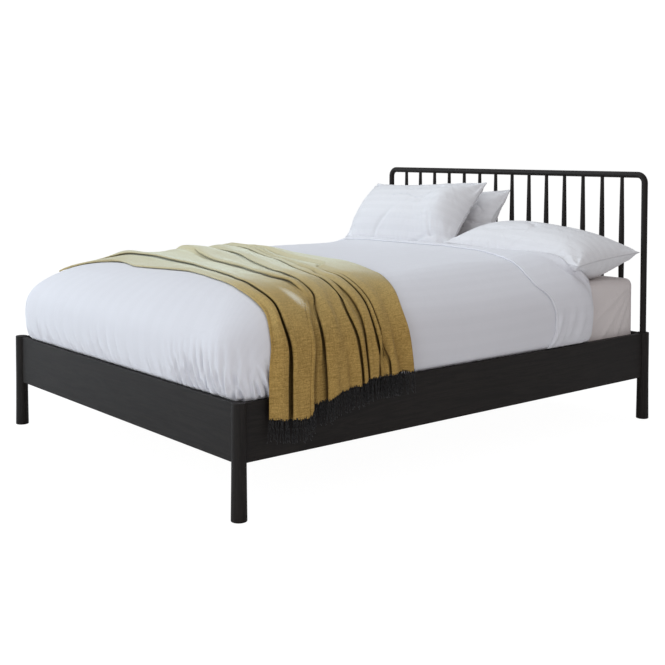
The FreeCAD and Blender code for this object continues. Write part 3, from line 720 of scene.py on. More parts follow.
def build_duvet():
    N = 2 * (NX + NY)
    ids = boundary_ids(NX, NY)
        # grid inside
    rim = outline(-0.510, 0.510, -0.775, 0.520, (0.10, 0.10, 0.06, 0.06), NX, NY)
    G = np.zeros((NX + 1, NY + 1, 2))
    G[ids[:, 0], ids[:, 1]] = rim
    u_, v_ = np.linspace(0, 1, NX + 1)[:, None, None], np.linspace(0, 1, NY + 1)[None, :, None]
    coons = (G[:1] * (1 - u_) + G[-1:] * u_ + G[:, :1] * (1 - v_) + G[:, -1:] * v_
             - (G[0, 0] * (1 - u_) * (1 - v_) + G[-1, 0] * u_ * (1 - v_) + G[-1, -1] * u_ * v_ + G[0, -1] * (1 - u_) * v_))
    G[1:-1, 1:-1] = coons[1:-1, 1:-1]
    for _ in range(260):
        G[1:-1, 1:-1] = 0.25 * (G[:-2, 1:-1] + G[2:, 1:-1] + G[1:-1, :-2] + G[1:-1, 2:])
    X, Y = G[..., 0], G[..., 1]
    top = np.stack([X, Y, duvet_top(X, Y)], -1)
    inner = top[ids[:, 0], ids[:, 1], :2]
    eq = outline(-X_SIDE, X_SIDE, Y_FOOT, Y_HEAD, (0.135, 0.125, 0.045, 0.045), NX, NY)
    low = outline(-0.763, 0.763, -1.0205, 0.683, (0.120, 0.050, 0.030, 0.030), NX, NY)
    tuck = outline(-0.7565, 0.7565, -1.0125, 0.676, (0.110, 0.060, 0.02, 0.02), NX, NY)
    cav = outline(-0.7530, 0.7530, -1.0035, 0.660, (0.045, 0.045, 0.01, 0.01), NX, NY)
    head = (eq[:, 1] > 0.60) * smoothstep(0.768, 0.735, np.abs(eq[:, 0]))
    z_eq = Z_EQ + (0.640 - Z_EQ) * head
    z_low = 0.3615 + (0.5925 - 0.3615) * head
    z_tuck = 0.3385 + (0.5915 - 0.3385) * head
    z_cav = 0.3420 + (0.5910 - 0.3420) * head
    z_top = duvet_top(inner[:, 0], inner[:, 1])
    rings = []
    n = 2.10
    for t in np.linspace(0, 90, 30)[1:]:
        a = math.radians(t)
        sx, cz = math.sin(a) ** (2 / n), math.cos(a) ** (2 / n) if t < 90 else 0.0
        plan = inner + (eq - inner) * sx
        zt = duvet_top(plan[:, 0], plan[:, 1]) * 0.8 + z_top * 0.2
        rings.append(np.c_[plan, z_eq + (zt - z_eq) * cz])
    for t in np.linspace(0, 1, 18)[1:]:
        plan = eq + (low - eq) * t ** 2.0
        rings.append(np.c_[plan, z_eq + (z_low - z_eq) * t])
    n_outer = len(rings)
    for t in (0.35, 1.0):
        rings.append(np.c_[low + (tuck - low) * t ** 0.4, z_low + (z_tuck - z_low) * t])
    rings.append(np.c_[cav, z_cav])
    cav_up = outline(-0.7525, 0.7525, -1.0030, 0.660, (0.170, 0.170, 0.01, 0.01), NX, NY)
    cav_top = outline(-0.7240, 0.7240, -0.9740, 0.655, (0.155, 0.155, 0.01, 0.01), NX, NY)
    rings.append(np.c_[cav, 0.470 + (0.5909 - 0.470) * head])
    rings.append(np.c_[cav_up, 0.560 + (0.5907 - 0.560) * head])
    rings.append(np.c_[cav_top, np.full(N, 0.5905)])
    R = np.stack(rings, 1)
    return top, R, eq, ids, n_outer


top, R, eq, ids, n_outer = build_duvet()
N = len(eq)
d = np.roll(eq, -1, 0) - np.roll(eq, 1, 0)
plan_n = np.stack([d[:, 1], -d[:, 0]], -1)
plan_n /= np.linalg.norm(plan_n, axis=1, keepdims=True)
arc = np.concatenate([[0], np.cumsum(np.linalg.norm(np.diff(eq, axis=0), axis=1))])

# where the cover is gathered, and by how much its cloth is longer than the bed's edge there
foot = smoothstep(-0.90, -0.99, eq[:, 1])
near_corner = smoothstep(0.30, 0.62, eq[:, 0]) * foot
near_side = (eq[:, 0] > 0.70) * (1 - foot)
far_side = (eq[:, 0] < -0.70) * (1 - foot)
side_corner = (eq[:, 0] > 0.70) * smoothstep(-0.55, -0.95, eq[:, 1])
excess_low = 0.06 * foot + 0.17 * near_corner + 0.09 * side_corner * (1 - foot) + 0.02 * (near_side + far_side)
excess_low = excess_low * (eq[:, 1] < 0.62)

# seeded waves that start the gathers at the right spacing
def phase(lam):
    return 2 * math.pi * arc / lam


wob = noise3(np.c_[arc * 1.0, np.zeros(N), np.zeros(N)], 3.0, 5.5)
wob2 = noise3(np.c_[arc * 1.0, np.zeros(N), np.zeros(N)], 11.0, 1.5)
z_r = R[..., 2]
lean = noise3(np.stack([np.repeat(arc[:, None], R.shape[1], 1), z_r * 2.0, np.zeros_like(z_r)], -1), 4.0, 9.0)
slant = 0.22 * (z_r - 0.36) * foot[:, None]
ph_soft = 2 * math.pi * (arc[:, None] + slant + 0.018 * lean + 0.022 * wob2[:, None] + 0.05 * wob[:, None]) / 0.072
ph_fine = 2 * math.pi * (arc[:, None] + slant + 0.016 * lean + 0.012 * wob2[:, None]) / 0.034
soft = np.abs(np.sin(ph_soft / 2)) ** 0.8 - 0.6
fine = np.abs(np.sin(ph_fine / 2)) ** 0.8 - 0.6
fade_hi = smoothstep(0.53, 0.40, z_r)
fade_fine = smoothstep(0.56, 0.42, z_r)
amp_mod = np.clip(0.55 + 1.0 * noise3(np.stack([np.repeat(arc[:, None], R.shape[1], 1), z_r * 1.5, np.zeros_like(z_r)], -1), 4.5, 3.3), 0.05, 1.6)
g = 0.0062 * soft * fade_hi * (foot * (1 - 0.85 * near_corner))[:, None] * amp_mod
g += 0.0100 * fine * fade_fine * near_corner[:, None] * (0.8 + 0.6 * wob[:, None])
g += 0.0075 * soft * smoothstep(0.48, 0.38, z_r) * (side_corner * (1 - foot))[:, None]
g += 0.0012 * soft * smoothstep(0.44, 0.37, z_r) * ((near_side + far_side) * (1 - side_corner))[:, None]
g[:, n_outer + 1:] = 0
# a few crisp tucks where the cover is pushed down behind the foot board
for a0, wd, hgt, top_z in ((-0.715, 0.007, 0.0065, 0.450), (-0.690, 0.006, 0.0060, 0.425), (-0.560, 0.007, 0.0060, 0.415), (-0.470, 0.008, 0.0070, 0.430), (-0.445, 0.006, 0.0055, 0.405), (-0.300, 0.007, 0.0050, 0.410), (-0.130, 0.008, 0.0045, 0.420)):
    line_x = a0 + 0.55 * (0.362 - z_r)
    g -= hgt * np.exp(-((R[..., 0] - line_x) / wd) ** 2) * smoothstep(top_z, 0.375, z_r) * foot[:, None]
g[:, n_outer + 1:] = 0
R[..., :2] += plan_n[:, None, :] * g[..., None]

r0 = 11
S = R[:, r0: n_outer + 2].copy()
base = S.copy()
Lu, Lv = lengths(S, True)
zz = S[..., 2]
Lu = Lu * (1 + excess_low[:, None] * smoothstep(0.57, 0.42, zz))
W = np.ones(S.shape[:2])
W[:, :2] = 0
W[:, -1] = 0
press = 0.00022
outn = np.concatenate([plan_n, np.zeros((N, 1))], 1)[:, None, :]

def keep_in(P, it):
    move = P - base
    far_ = np.linalg.norm(move, axis=-1, keepdims=True)
    P[...] = base + move * np.minimum(1.0, 0.013 / (far_ + 1e-9))
    lowz = P[..., 2] < 0.3605
    P[..., 0] = np.where(lowz, np.clip(P[..., 0], -0.7580, 0.7580), P[..., 0])
    P[..., 1] = np.where(lowz, np.maximum(P[..., 1], -1.0150), P[..., 1])

n0 = normals_of(S, True)
sgn = 1.0 if (n0 * outn).sum() > 0 else -1.0
S = relax(S, Lu, Lv, W, 160, press=press, closed_u=True, bend=0.05, shear=0.25, squeeze=0.7, post=keep_in, sign=sgn)
# the filling holds the upper part in shape: the cloth's own folds fade out towards the top
moved = S - base
fade_up = smoothstep(0.0, 15.0, np.arange(S.shape[1], dtype=float))[None, :, None]
calm = moved.copy()
for _ in range(14):
    calm = (np.roll(calm, 1, 0) + 2 * calm + np.roll(calm, -1, 0)) / 4
    calm[:, 1:-1] = (calm[:, :-2] + 2 * calm[:, 1:-1] + calm[:, 2:]) / 4
mixed = calm * (1 - smoothstep(0.56, 0.47, base[..., 2:3])) + moved * smoothstep(0.56, 0.47, base[..., 2:3])
R[:, r0: n_outer + 2] = base + mixed * fade_up

# the foot end is drawn with closer columns below its rounded shoulder, for the narrow creases there
FINE_ROW = 13
a_foot = arc[:NX + 1]
parts_of = np.ones(N, int)
parts_of[:NX + 45] = 3
parts_of[N - 25:] = 3
col_s = np.concatenate([k + np.arange(f) / f for k, f in enumerate(parts_of)])
col_of = np.concatenate([[0], np.cumsum(parts_of)])[:-1]
M = len(col_s)


def between(A, wrap=0.0):
    """Columns of A at the closer spacing, on a smooth curve through the old ones."""
    i = np.floor(col_s).astype(int)
    t = (col_s - i).reshape((-1,) + (1,) * (A.ndim - 1))

    def get(j):
        v = A[j % N]
        if wrap:
            v = v + wrap * (j // N)
        return v
    a_, b_, c_, d_ = get(i - 1), get(i), get(i + 1), get(i + 2)
    return 0.5 * ((2 * b_) + (c_ - a_) * t + (2 * a_ - 5 * b_ + 4 * c_ - d_) * t * t + (3 * b_ - a_ - 3 * c_ + d_) * t ** 3)


whole = arc[-1] + np.linalg.norm(eq[0] - eq[-1])
R = between(R)
arc = between(arc, whole)
plan_n = between(plan_n)
plan_n /= np.linalg.norm(plan_n, axis=1, keepdims=True)

# crisp creases where the cover is pushed down behind the foot board: narrow valleys with a rounded lip beside them
cr = np.random.default_rng(8)
pos = 0.03
extra = np.zeros(R.shape[:2])
AR = np.repeat(arc[:, None], R.shape[1], 1)
while pos < a_foot[-1] + 0.20:
    share = float(smoothstep(0.62, 0.86, pos / a_foot[-1]))
    left = float(smoothstep(0.30, 0.05, pos / a_foot[-1]))
    dense = max(share, 0.55 * left)
    pos += cr.uniform(0.019, 0.036) if dense > 0.5 else cr.uniform(0.030, 0.075)
    z_hi = 0.362 + cr.uniform(0.040, 0.085) + 0.085 * share * cr.random() + (0.04 if cr.random() < 0.2 else 0)
    wd = cr.uniform(0.0040, 0.0064) * (1 + 0.5 * (1 - dense))
    hgt = cr.uniform(0.0060, 0.0105) * (0.50 + 0.55 * dense)
    sl = cr.normal(-0.16, 0.16)
    bow = cr.normal(0, 0.5)
    rel = R[..., 2] - 0.362
    centre = pos + sl * rel + bow * rel ** 2
    along = smoothstep(z_hi, 0.362 + 0.35 * (z_hi - 0.362), R[..., 2])
    wloc = wd * (0.75 + 5.5 * np.clip(rel, 0, 0.2))
    dd = (AR - centre) / wloc
    extra += along * hgt * (-np.exp(-dd ** 2) + 0.62 * np.exp(-((dd - 1.9) / 1.1) ** 2))
extra[:, n_outer:] = 0
extra[:, :14] = 0
R[..., :2] += plan_n[:, None, :] * (np.clip(extra, -0.0115, 0.0065) * smoothstep(0.3600, 0.3680, R[..., 2]) + np.clip(extra, -0.004, 0.002) * (1 - smoothstep(0.3600, 0.3680, R[..., 2])))[..., None]
# the cover stays outside the mattress it hangs over
outer_rows = (np.arange(R.shape[1])[None, :] < n_outer) & (R[..., 2] < 0.490)
R[..., 1] = np.where(outer_rows & (plan_n[:, None, 1] < -0.9), np.minimum(R[..., 1], -1.0085), R[..., 1])
R[..., 0] = np.where(outer_rows & (plan_n[:, None, 0] > 0.9), np.maximum(R[..., 0], 0.7580), R[..., 0])

# legs stand in the corners: the cover lies on their tops
for lx, ly in ((-0.773, -1.030), (0.773, -1.030)):
    for arr in (R,):
        near = np.hypot(arr[..., 0] - lx, arr[..., 1] - ly) < 0.034
        arr[..., 2] = np.where(near & (arr[..., 2] < 0.366), 0.366 + (0.366 - arr[..., 2]) * 0.02, arr[..., 2])

# the turned-back band: raised a little, with a hemmed edge that the light catches
BAND_SIDE = ([0.33, 0.377, 0.43, 0.471, 0.55, 0.60, 0.64, 0.67], [0.400, 0.410, 0.428, 0.432, 0.419, 0.392, 0.378, 0.372])


def band_height(P):
    """How far the band stands above the duvet's own face at each point."""
    x, y, z = P[..., 0], P[..., 1], P[..., 2]
    e = band_edge_y(x)
    side = np.interp(z, *BAND_SIDE)
    k = smoothstep(0.70, 0.765, np.abs(x))
    e = e * (1 - k) + side * k
    dist = (y - e) * 0.93
    rise = 0.010 * smoothstep(-0.02, 0.20, dist) - 0.0022 * np.exp(-((dist + 0.004) / 0.010) ** 2)
    return rise * (1 - 0.55 * k)


tn = normals_of(top)
tn *= np.sign(tn[..., 2:3])
rn = normals_of(R, True)
flip = np.sign((rn[:, :n_outer] * np.concatenate([plan_n, np.full((M, 1), 0.5)], 1)[:, None, :]).sum())
rn *= flip
top_h = band_height(top)
r_h = band_height(R)
r_h[:, n_outer:] = 0
low_fade = smoothstep(0.362, 0.385, R[..., 2])
r_h *= low_fade
# broad, soft unevenness of the filling
und_t = noise3(top * np.array([1.0, 1.6, 0.0]), 2.6, 2.0) * 0.0055 + noise3(top * np.array([2.2, 0.8, 0.0]), 4.5, 12.0) * 0.0016
und_r = noise3(R * np.array([1.0, 1.0, 1.6]), 2.6, 2.0) * 0.0045 + noise3(R * np.array([1.4, 1.4, 0.8]), 6.0, 4.0) * 0.0013
und_r[:, n_outer:] = 0
und_r *= low_fade
edge_mix = np.ones(R.shape[1])
edge_mix[:10] = np.linspace(0.0, 1.0, 11)[1:]
und_t_on_R = noise3(R * np.array([1.0, 1.6, 0.0]), 2.6, 2.0) * 0.0055 + noise3(R * np.array([2.2, 0.8, 0.0]), 4.5, 12.0) * 0.0016
und_r = und_r * edge_mix[None, :] + und_t_on_R * (1 - edge_mix)[None, :]
und_r[:, n_outer:] = 0
top = top + tn * (top_h + und_t)[..., None]
R = R + rn * (r_h + und_r)[..., None]

# two folds that hang from the band's edge on the near side
side_pts = (R[..., 0] > 0.70)
for (y1, z1, y2, z2, wd, hgt) in ((0.415, 0.372, 0.470, 0.505, 0.009, 0.012), (0.500, 0.400, 0.545, 0.520, 0.009, 0.009), (0.452, 0.366, 0.492, 0.455, 0.007, 0.009), (0.560, 0.380, 0.600, 0.500, 0.012, 0.008)):
    ax, az = y2 - y1, z2 - z1
    L = math.hypot(ax, az)
    t = ((R[..., 1] - y1) * ax + (R[..., 2] - z1) * az) / L ** 2
    dd = ((R[..., 1] - y1) * az - (R[..., 2] - z1) * ax) / L
    w = side_pts * np.exp(-(dd / wd) ** 2) * smoothstep(-0.15, 0.2, t) * smoothstep(1.15, 0.6, t) * low_fade
    w[:, n_outer:] = 0
    R = R + rn * (w * hgt)[..., None]



def recede(P):
    """The head end's corners are rounded off towards the top."""
    k = smoothstep(0.58, 0.76, np.abs(P[..., 0])) * smoothstep(0.585, 0.675, P[..., 2]) * smoothstep(0.40, 0.69, P[..., 1])
    P[..., 1] -= 0.060 * k
    P[..., 2] -= 0.010 * k
    return P


top, R = recede(top), recede(R)
nr = R.shape[1]
keep = np.ones((M, nr), bool)
keep[:, :FINE_ROW] = False
keep[col_of, :FINE_ROW] = True
off = (NX + 1) * (NY + 1)
vid = np.full((M, nr), -1)
vid[keep] = off + np.arange(keep.sum())
verts = np.concatenate([top.reshape(-1, 3), R[keep]])
faces = list(grid_faces(NX + 1, NY + 1))
first = ids[:, 0] * (NY + 1) + ids[:, 1]
for k in range(N):
    k2 = (k + 1) % N
    c1, c2 = col_of[k], col_of[k2]
    faces.append((first[k], vid[c1, 0], vid[c2, 0], first[k2]))
    for r_ in range(FINE_ROW - 1):
        faces.append((vid[c1, r_], vid[c1, r_ + 1], vid[c2, r_ + 1], vid[c2, r_]))
    low_row = [vid[(c1 + j) % M, FINE_ROW] for j in range(parts_of[k] + 1)]
    faces.append(tuple([vid[c1, FINE_ROW - 1]] + low_row + [vid[c2, FINE_ROW - 1]]))
for k in range(M):
    k2 = (k + 1) % M
    for r_ in range(FINE_ROW, nr - 1):
        faces.append((vid[k, r_], vid[k, r_ + 1], vid[k2, r_ + 1], vid[k2, r_]))
faces.append(tuple(vid[k, nr - 1] for k in range(M)))
# UVs in metres, laid as the cover would be: across and along the bed, with the drop added on
drop = np.concatenate([np.zeros((M, 1)), np.cumsum(np.linalg.norm(np.diff(R, axis=1), axis=-1), 1)], 1)
rim_fine = between(top[ids[:, 0], ids[:, 1]])
drop = drop + np.linalg.norm(R[:, :1] - rim_fine[:, None], axis=-1)
inner_xy = rim_fine[:, :2]
uvr = inner_xy[:, None, :] + plan_n[:, None, :] * drop[..., None]
duvet_mat = cotton("duvet_cotton", (0.845, 0.840, 0.872), "U", 0.16, 0.052, rough=0.72, sheen=0.22, crease=0.10)
body_mesh = make_obj("duvet_body_tmp", verts, faces, duvet_mat)
bpy.context.view_layer.update()
body_bvh = bvh_of(body_mesh)
bpy.data.objects.remove(body_mesh)

# the flap: it lies on the duvet from one rail over the top to the other, ends in a sewn hem and runs into the head end's roll
half = [(x, 0.70) for x in np.linspace(0.0, 0.42, 12)]
half += [(0.420 + 0.364 * math.sin(math.radians(a)) ** 0.84, 0.485 + 0.215 * math.cos(math.radians(a)) ** 0.84) for a in range(5, 90, 5)] + [(0.784, 0.485)]
half += [(0.784 - 0.016 * ((0.485 - z) / 0.12) ** 2, z) for z in np.linspace(0.472, 0.3635, 12)]
half = np.array(half)
path = np.concatenate([np.c_[-half[:0:-1, 0], half[:0:-1, 1]], half])
pa = np.concatenate([[0], np.cumsum(np.hypot(*np.diff(path, axis=0).T))])
nb = 300
ps = np.linspace(0, pa[-1], nb)
bx, bz = np.interp(ps, pa, path[:, 0]), np.interp(ps, pa, path[:, 1])
tx, tz = np.gradient(bx), np.gradient(bz)
tl_ = np.hypot(tx, tz)
bnx, bnz = -tz / tl_, tx / tl_
dist_v = np.concatenate([[0.0, 0.0006, 0.0014, 0.0026, 0.004, 0.0058, 0.0078, 0.0100, 0.0125, 0.0155, 0.020], np.linspace(0.028, 0.26, 22)])
FB = np.zeros((nb, len(dist_v), 3))
for i in range(nb):
    ksd = float(smoothstep(0.70, 0.765, abs(bx[i])))
    e_ = float(band_edge_y(bx[i])) * (1 - ksd) + float(np.interp(bz[i], *BAND_SIDE)) * ksd
    e_ += 0.0025 * math.sin(ps[i] * 31.0) + 0.0015 * math.sin(ps[i] * 83.0 + 1.0)
    span = 0.676 - 0.055 * float(smoothstep(0.58, 0.76, abs(bx[i])) * smoothstep(0.585, 0.675, bz[i])) - e_
    n_ = Vector((bnx[i], 0, bnz[i]))
    last = None
    for j, dv_ in enumerate(dist_v):
        frac = dv_ / 0.26
        y_ = e_ + dv_ if dv_ < 0.021 else e_ + 0.020 + (span - 0.020) * (dv_ - 0.020) / 0.240
        hit_ = body_bvh.ray_cast(Vector((bx[i], y_, bz[i])) + n_ * 0.15, -n_, 0.32)
        if hit_[0] is not None:
            last = hit_[0] - Vector((0, y_, 0))
        q_ = np.array(last if last is not None else (bx[i], 0, bz[i]))
        q_[1] = y_
        lift_ = (0.0046 + 0.0022 * ksd) * math.sqrt(max(0.0, 1 - (1 - min(1, dv_ / 0.0032)) ** 2))
        lift_ += 0.0007 * math.exp(-((dv_ - 0.0050) / 0.0022) ** 2) - 0.0012 * math.exp(-((dv_ - 0.0115) / 0.0024) ** 2)
        lift_ *= 1 - 0.92 * float(smoothstep(0.58, 0.672, y_))
        lift_ += 0.0008
        if bz[i] < 0.372:
            lift_ = min(lift_, 0.006)
        FB[i, j] = q_ + np.array([bnx[i], 0, bnz[i]]) * lift_
for _ in range(2):
    FB[1:-1, 1:] = (FB[:-2, 1:] + 2 * FB[1:-1, 1:] + FB[2:, 1:]) / 4
n_body = len(verts)
uv_body = np.concatenate([top[..., :2].reshape(-1, 2), uvr[keep]])
verts = np.concatenate([verts, FB.reshape(-1, 3)])
faces += [tuple(f) for f in grid_faces(nb, len(dist_v), False, n_body)]
uv_body = np.concatenate([uv_body, np.stack([np.repeat(ps[:, None], len(dist_v), 1), FB[..., 1]], -1).reshape(-1, 2)])
duvet = make_obj("duvet_cover", verts, faces, duvet_mat, uv_body)
fix_normals(duvet)
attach(duvet, "duvet")
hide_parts("duvet")
bpy.context.view_layer.update()
duvet_bvh = bvh_of(duvet)


def duvet_z(x, y, default=0.59):
    hit = duvet_bvh.ray_cast(Vector((x, y, 1.2)), Vector((0, 0, -1)))
    return hit[0].z if hit[0] is not None else default


# ---------------------------------------------------------------- pillows
def inflate(length, width, thick, nu, seed, levels=2, iters=(240, 120, 90), puckers=1.0, gamma=1.25):
    """Half of a pillow: one sheet of the case, sewn flat round its edge and blown up. Returns a grid of (x, y, z)."""
    n0u, n0v = nu, int(round(nu * width / length))
    P = None
    for lev in range(levels + 1):
        f = 2 ** (levels - lev)
        mu, mv = n0u // f + 1, n0v // f + 1
        u = np.linspace(-0.5, 0.5, mu) * length
        v = np.linspace(-0.5, 0.5, mv) * width
        U, V = np.meshgrid(u, v, indexing="ij")
        if P is None:
            bump_ = thick * 0.5 * (np.cos(U / length * math.pi) * np.cos(V / width * math.pi)) ** 0.55
            P = np.stack([U * 0.95, V * 0.93, bump_], -1)
        else:
            old = P
            a = np.linspace(0, old.shape[0] - 1, mu)
            b = np.linspace(0, old.shape[1] - 1, mv)
            ia, ib = np.minimum(a.astype(int), old.shape[0] - 2), np.minimum(b.astype(int), old.shape[1] - 2)
            fa, fb = (a - ia)[:, None, None], (b - ib)[None, :, None]
            A = old[ia][:, ib] * (1 - fa) * (1 - fb) + old[ia + 1][:, ib] * fa * (1 - fb)
            B = old[ia][:, ib + 1] * (1 - fa) * fb + old[ia + 1][:, ib + 1] * fa * fb
            P = A + B
        r = np.random.default_rng(seed + lev)
        P[1:-1, 1:-1, 2] += r.normal(0, 0.0006 * puckers, (mu - 2, mv - 2))
        Lu = np.full((mu - 1, mv), length / (mu - 1))
        Lv = np.full((mu, mv - 1), width / (mv - 1))
        W = np.ones((mu, mv))
        cap = thick * 0.5

        def sewn(Q, it):
            for e in (Q[0], Q[-1], Q[:, 0], Q[:, -1]):
                e[:, 2] = 0.0
            Q[..., 2] = np.maximum(Q[..., 2], 0.0)

        n = normals_of(P)
        s = 1.0 if n[..., 2].mean() > 0 else -1.0
        P = relax(P, Lu, Lv, W, iters[lev], press=0.00075 / (2 ** lev), bend=0.030, shear=0.12, squeeze=0.8, post=sewn, sign=s)
    P[..., 2] = cap * (P[..., 2] / P[..., 2].max()) ** gamma
    return P


def creases(mu, mv, length, width, seed, depth=1.0):
    """Puckers along the sewn edges, folds that run from the corners and a few long soft creases, as heights on the flat case."""
    U, V = np.meshgrid(np.linspace(0, length, mu), np.linspace(0, width, mv), indexing="ij")
    eu, ev = np.minimum(U, length - U), np.minimum(V, width - V)
    e = np.minimum(eu, ev)
    z = np.zeros_like(U)
    pu = noise3(np.stack([U, np.full_like(U, 0.3) + (V > width / 2), z], -1), 42.0, seed * 1.3)
    pv = noise3(np.stack([V, np.full_like(U, 5.3) + (U > length / 2), z], -1), 42.0, seed * 1.7)
    h = 0.0042 * pu * np.exp(-ev / 0.032) * smoothstep(0.0, 0.010, ev) + 0.0042 * pv * np.exp(-eu / 0.032) * smoothstep(0.0, 0.010, eu)
    for cu in (0, length):
        for cv in (0, width):
            du, dv_ = np.abs(U - cu), np.abs(V - cv)
            r_ = np.hypot(du, dv_)
            th = np.arctan2(dv_, du + 1e-6)
            h += 0.0055 * np.cos(10.5 * th + seed + cu * 3 + cv * 5) * np.exp(-r_ / 0.085) * smoothstep(0.012, 0.05, r_)
    for k, (sc, amp, tilt) in enumerate(((4.6, 0.0048, 0.5), (8.5, 0.0026, -0.8))):
        w = noise3(np.stack([U * 0.8 + tilt * V, V * 1.5 - tilt * U * 0.5, z + k], -1), sc, seed * 2.1 + k)
        m_ = smoothstep(-0.05, 0.35, noise3(np.stack([U, V, z + 9 + k], -1), 3.5, seed * 0.7))
        h -= amp * np.clip(1 - np.abs(w) / 0.11, 0, 1) ** 1.5 * m_ * smoothstep(0.0, 0.05, e)
    h += 0.004 * noise3(np.stack([U, V, z], -1), 5.0, seed * 3.3) * smoothstep(0.0, 0.06, e)
    return h * depth


def pillow(name, corners, length, width, thick, seed, mat, front_scale=1.0, back_scale=1.0, nu=128, shape=None, pull=(0.03, 0.05), gamma=1.25, crown=None, depth=1.7):
    """corners: world points (a-,b-), (a+,b-), (a+,b+), (a-,b+); the sheet's a runs along the length."""
    half = inflate(length, width, thick, nu, seed, gamma=gamma)
    half2 = half * np.array([1.0, 1.0, 1.0])
    c = np.array(corners, float)
    mu, mv = half.shape[:2]

    def place(H, side, scale):
        ax = H[..., 0] / abs(H[0, 0, 0]) / 1.0
        by = H[..., 1] / abs(H[0, 0, 1]) / 1.0
        ax, by = ax * (1 - pull[0] * (1 - np.clip(by * by, 0, 1))), by * (1 - pull[1] * (1 - np.clip(ax * ax, 0, 1)))
        a, b = (ax + 1) / 2, (by + 1) / 2
        pos = (c[0] * ((1 - a) * (1 - b))[..., None] + c[1] * (a * (1 - b))[..., None]
               + c[2] * (a * b)[..., None] + c[3] * ((1 - a) * b)[..., None])
        eu = (c[1] + c[2] - c[0] - c[3])
        ev = (c[3] + c[2] - c[0] - c[1])
        n = np.cross(eu, ev)
        n /= np.linalg.norm(n)
        hz = H[..., 2] * side * scale
        if crown is not None:
            hz = hz * crown(a, b, side)
        hz = hz + side * creases(mu, mv, length, width, seed + (0 if side > 0 else 17), depth) * smoothstep(0.0, 0.02, H[..., 2])
        return pos + n * hz[..., None]

    avg_edge = (half + half2) / 2
    for H in (half, half2):
        for sl in ((0, slice(None)), (-1, slice(None)), (slice(None), 0), (slice(None), -1)):
            H[sl] = avg_edge[sl]
            H[sl][..., 2] = 0
    A, B = place(half, 1, front_scale), place(half2, -1, back_scale)
    if shape is not None:
        A, B = shape(A, B)
        for sl in ((0, slice(None)), (-1, slice(None)), (slice(None), 0), (slice(None), -1)):
            mid = (A[sl] + B[sl]) / 2
            A[sl] = mid
            B[sl] = mid
    count = mu * mv
    edge = np.zeros((mu, mv), bool)
    edge[0], edge[-1], edge[:, 0], edge[:, -1] = True, True, True, True
    idB = np.full((mu, mv), -1)
    idB[~edge] = count + np.arange((~edge).sum())
    idA = np.arange(count).reshape(mu, mv)
    idB[edge] = idA[edge]
    fa = np.stack([idA[:-1, :-1], idA[1:, :-1], idA[1:, 1:], idA[:-1, 1:]], -1).reshape(-1, 4)
    fb = np.stack([idB[:-1, :-1], idB[:-1, 1:], idB[1:, 1:], idB[1:, :-1]], -1).reshape(-1, 4)
    verts = np.concatenate([A.reshape(-1, 3), B[~edge]])
    uu = np.linspace(0, length, mu)
    vv = np.linspace(0, width, mv)
    U, V = np.meshgrid(uu, vv, indexing="ij")
    uvA = np.stack([U, V], -1).reshape(-1, 2)
    uvB = np.stack([U, V + 1.0], -1)[~edge]
    o = make_obj(name, verts, np.concatenate([fa, fb]), mat, np.concatenate([uvA, uvB]))
    fix_normals(o)
    # the sewn edge: a thin round welt all the way round
    ring = [A[i, 0] for i in range(mu)] + [A[-1, j] for j in range(1, mv)]
    ring += [A[i, -1] for i in range(mu - 2, -1, -1)] + [A[0, j] for j in range(mv - 2, 0, -1)]
    ring = np.array(ring)
    for _ in range(2):
        ring = (np.roll(ring, 1, 0) + 2 * ring + np.roll(ring, -1, 0)) / 4
    seam = tube(name + "_seam", ring, 0.0022, 6, seam_shade_cotton, closed=True)
    return o, seam, A, B


def tube(name, path, radius, sides, mat, closed=False, radii=None):
    path = np.asarray(path, float)
    n = len(path)
    if closed:
        t = np.roll(path, -1, 0) - np.roll(path, 1, 0)
    else:
        t = np.gradient(path, axis=0)
    t /= np.linalg.norm(t, axis=1, keepdims=True) + 1e-12
    ref = np.array([0.13, 0.21, 0.97])
    a = np.cross(t, ref)
    a /= np.linalg.norm(a, axis=1, keepdims=True) + 1e-12
    b = np.cross(t, a)
    ang = np.linspace(0, 2 * math.pi, sides, endpoint=False)
    rr = np.full(n, radius) if radii is None else np.asarray(radii)
    V = path[:, None] + rr[:, None, None] * (a[:, None] * np.cos(ang)[None, :, None] + b[:, None] * np.sin(ang)[None, :, None])
    faces = []
    for i in range(n if closed else n - 1):
        i2 = (i + 1) % n
        for k in range(sides):
            k2 = (k + 1) % sides
            faces.append((i * sides + k, i2 * sides + k, i2 * sides + k2, i * sides + k2))
    if not closed:
        faces.append(tuple(range(sides)))
        faces.append(tuple((n - 1) * sides + k for k in reversed(range(sides))))
    uv = np.stack(np.meshgrid(np.linspace(0, n * 0.007, n), ang * radius, indexing="ij"), -1).reshape(-1, 2)
    o = make_obj(name, V.reshape(-1, 3), faces, mat, uv)
    fix_normals(o)
    return o


sateen = cotton("pillow_sateen", (0.865, 0.855, 0.865), "V", 0.30, 0.046, rough=0.66, sheen=0.2, crease=0.26)


# painted shade: the seam's cotton is darker than the case, standing in for the shadow along the seam
seam_shade_cotton = cotton("pillow_seam", (0.70, 0.69, 0.70), rough=0.75, sheen=0.15, crease=0.10)


def rest_front(A, B):
    b_ = np.linspace(0, 1, A.shape[1])[None, :]
    A[..., 2] -= 0.034 * smoothstep(0.36, 0.08, b_)
    for P in (A, B):
        for idx in np.ndindex(P.shape[:2]):
            x, y, z = P[idx]
            if y < 0.80:
                g_ = duvet_z(x, y) + 0.002
                if z < g_:
                    P[idx][1] = min(0.80, y + 1.1 * (g_ - z))
                    P[idx][2] = duvet_z(x, P[idx][1]) + 0.002
    return A, B


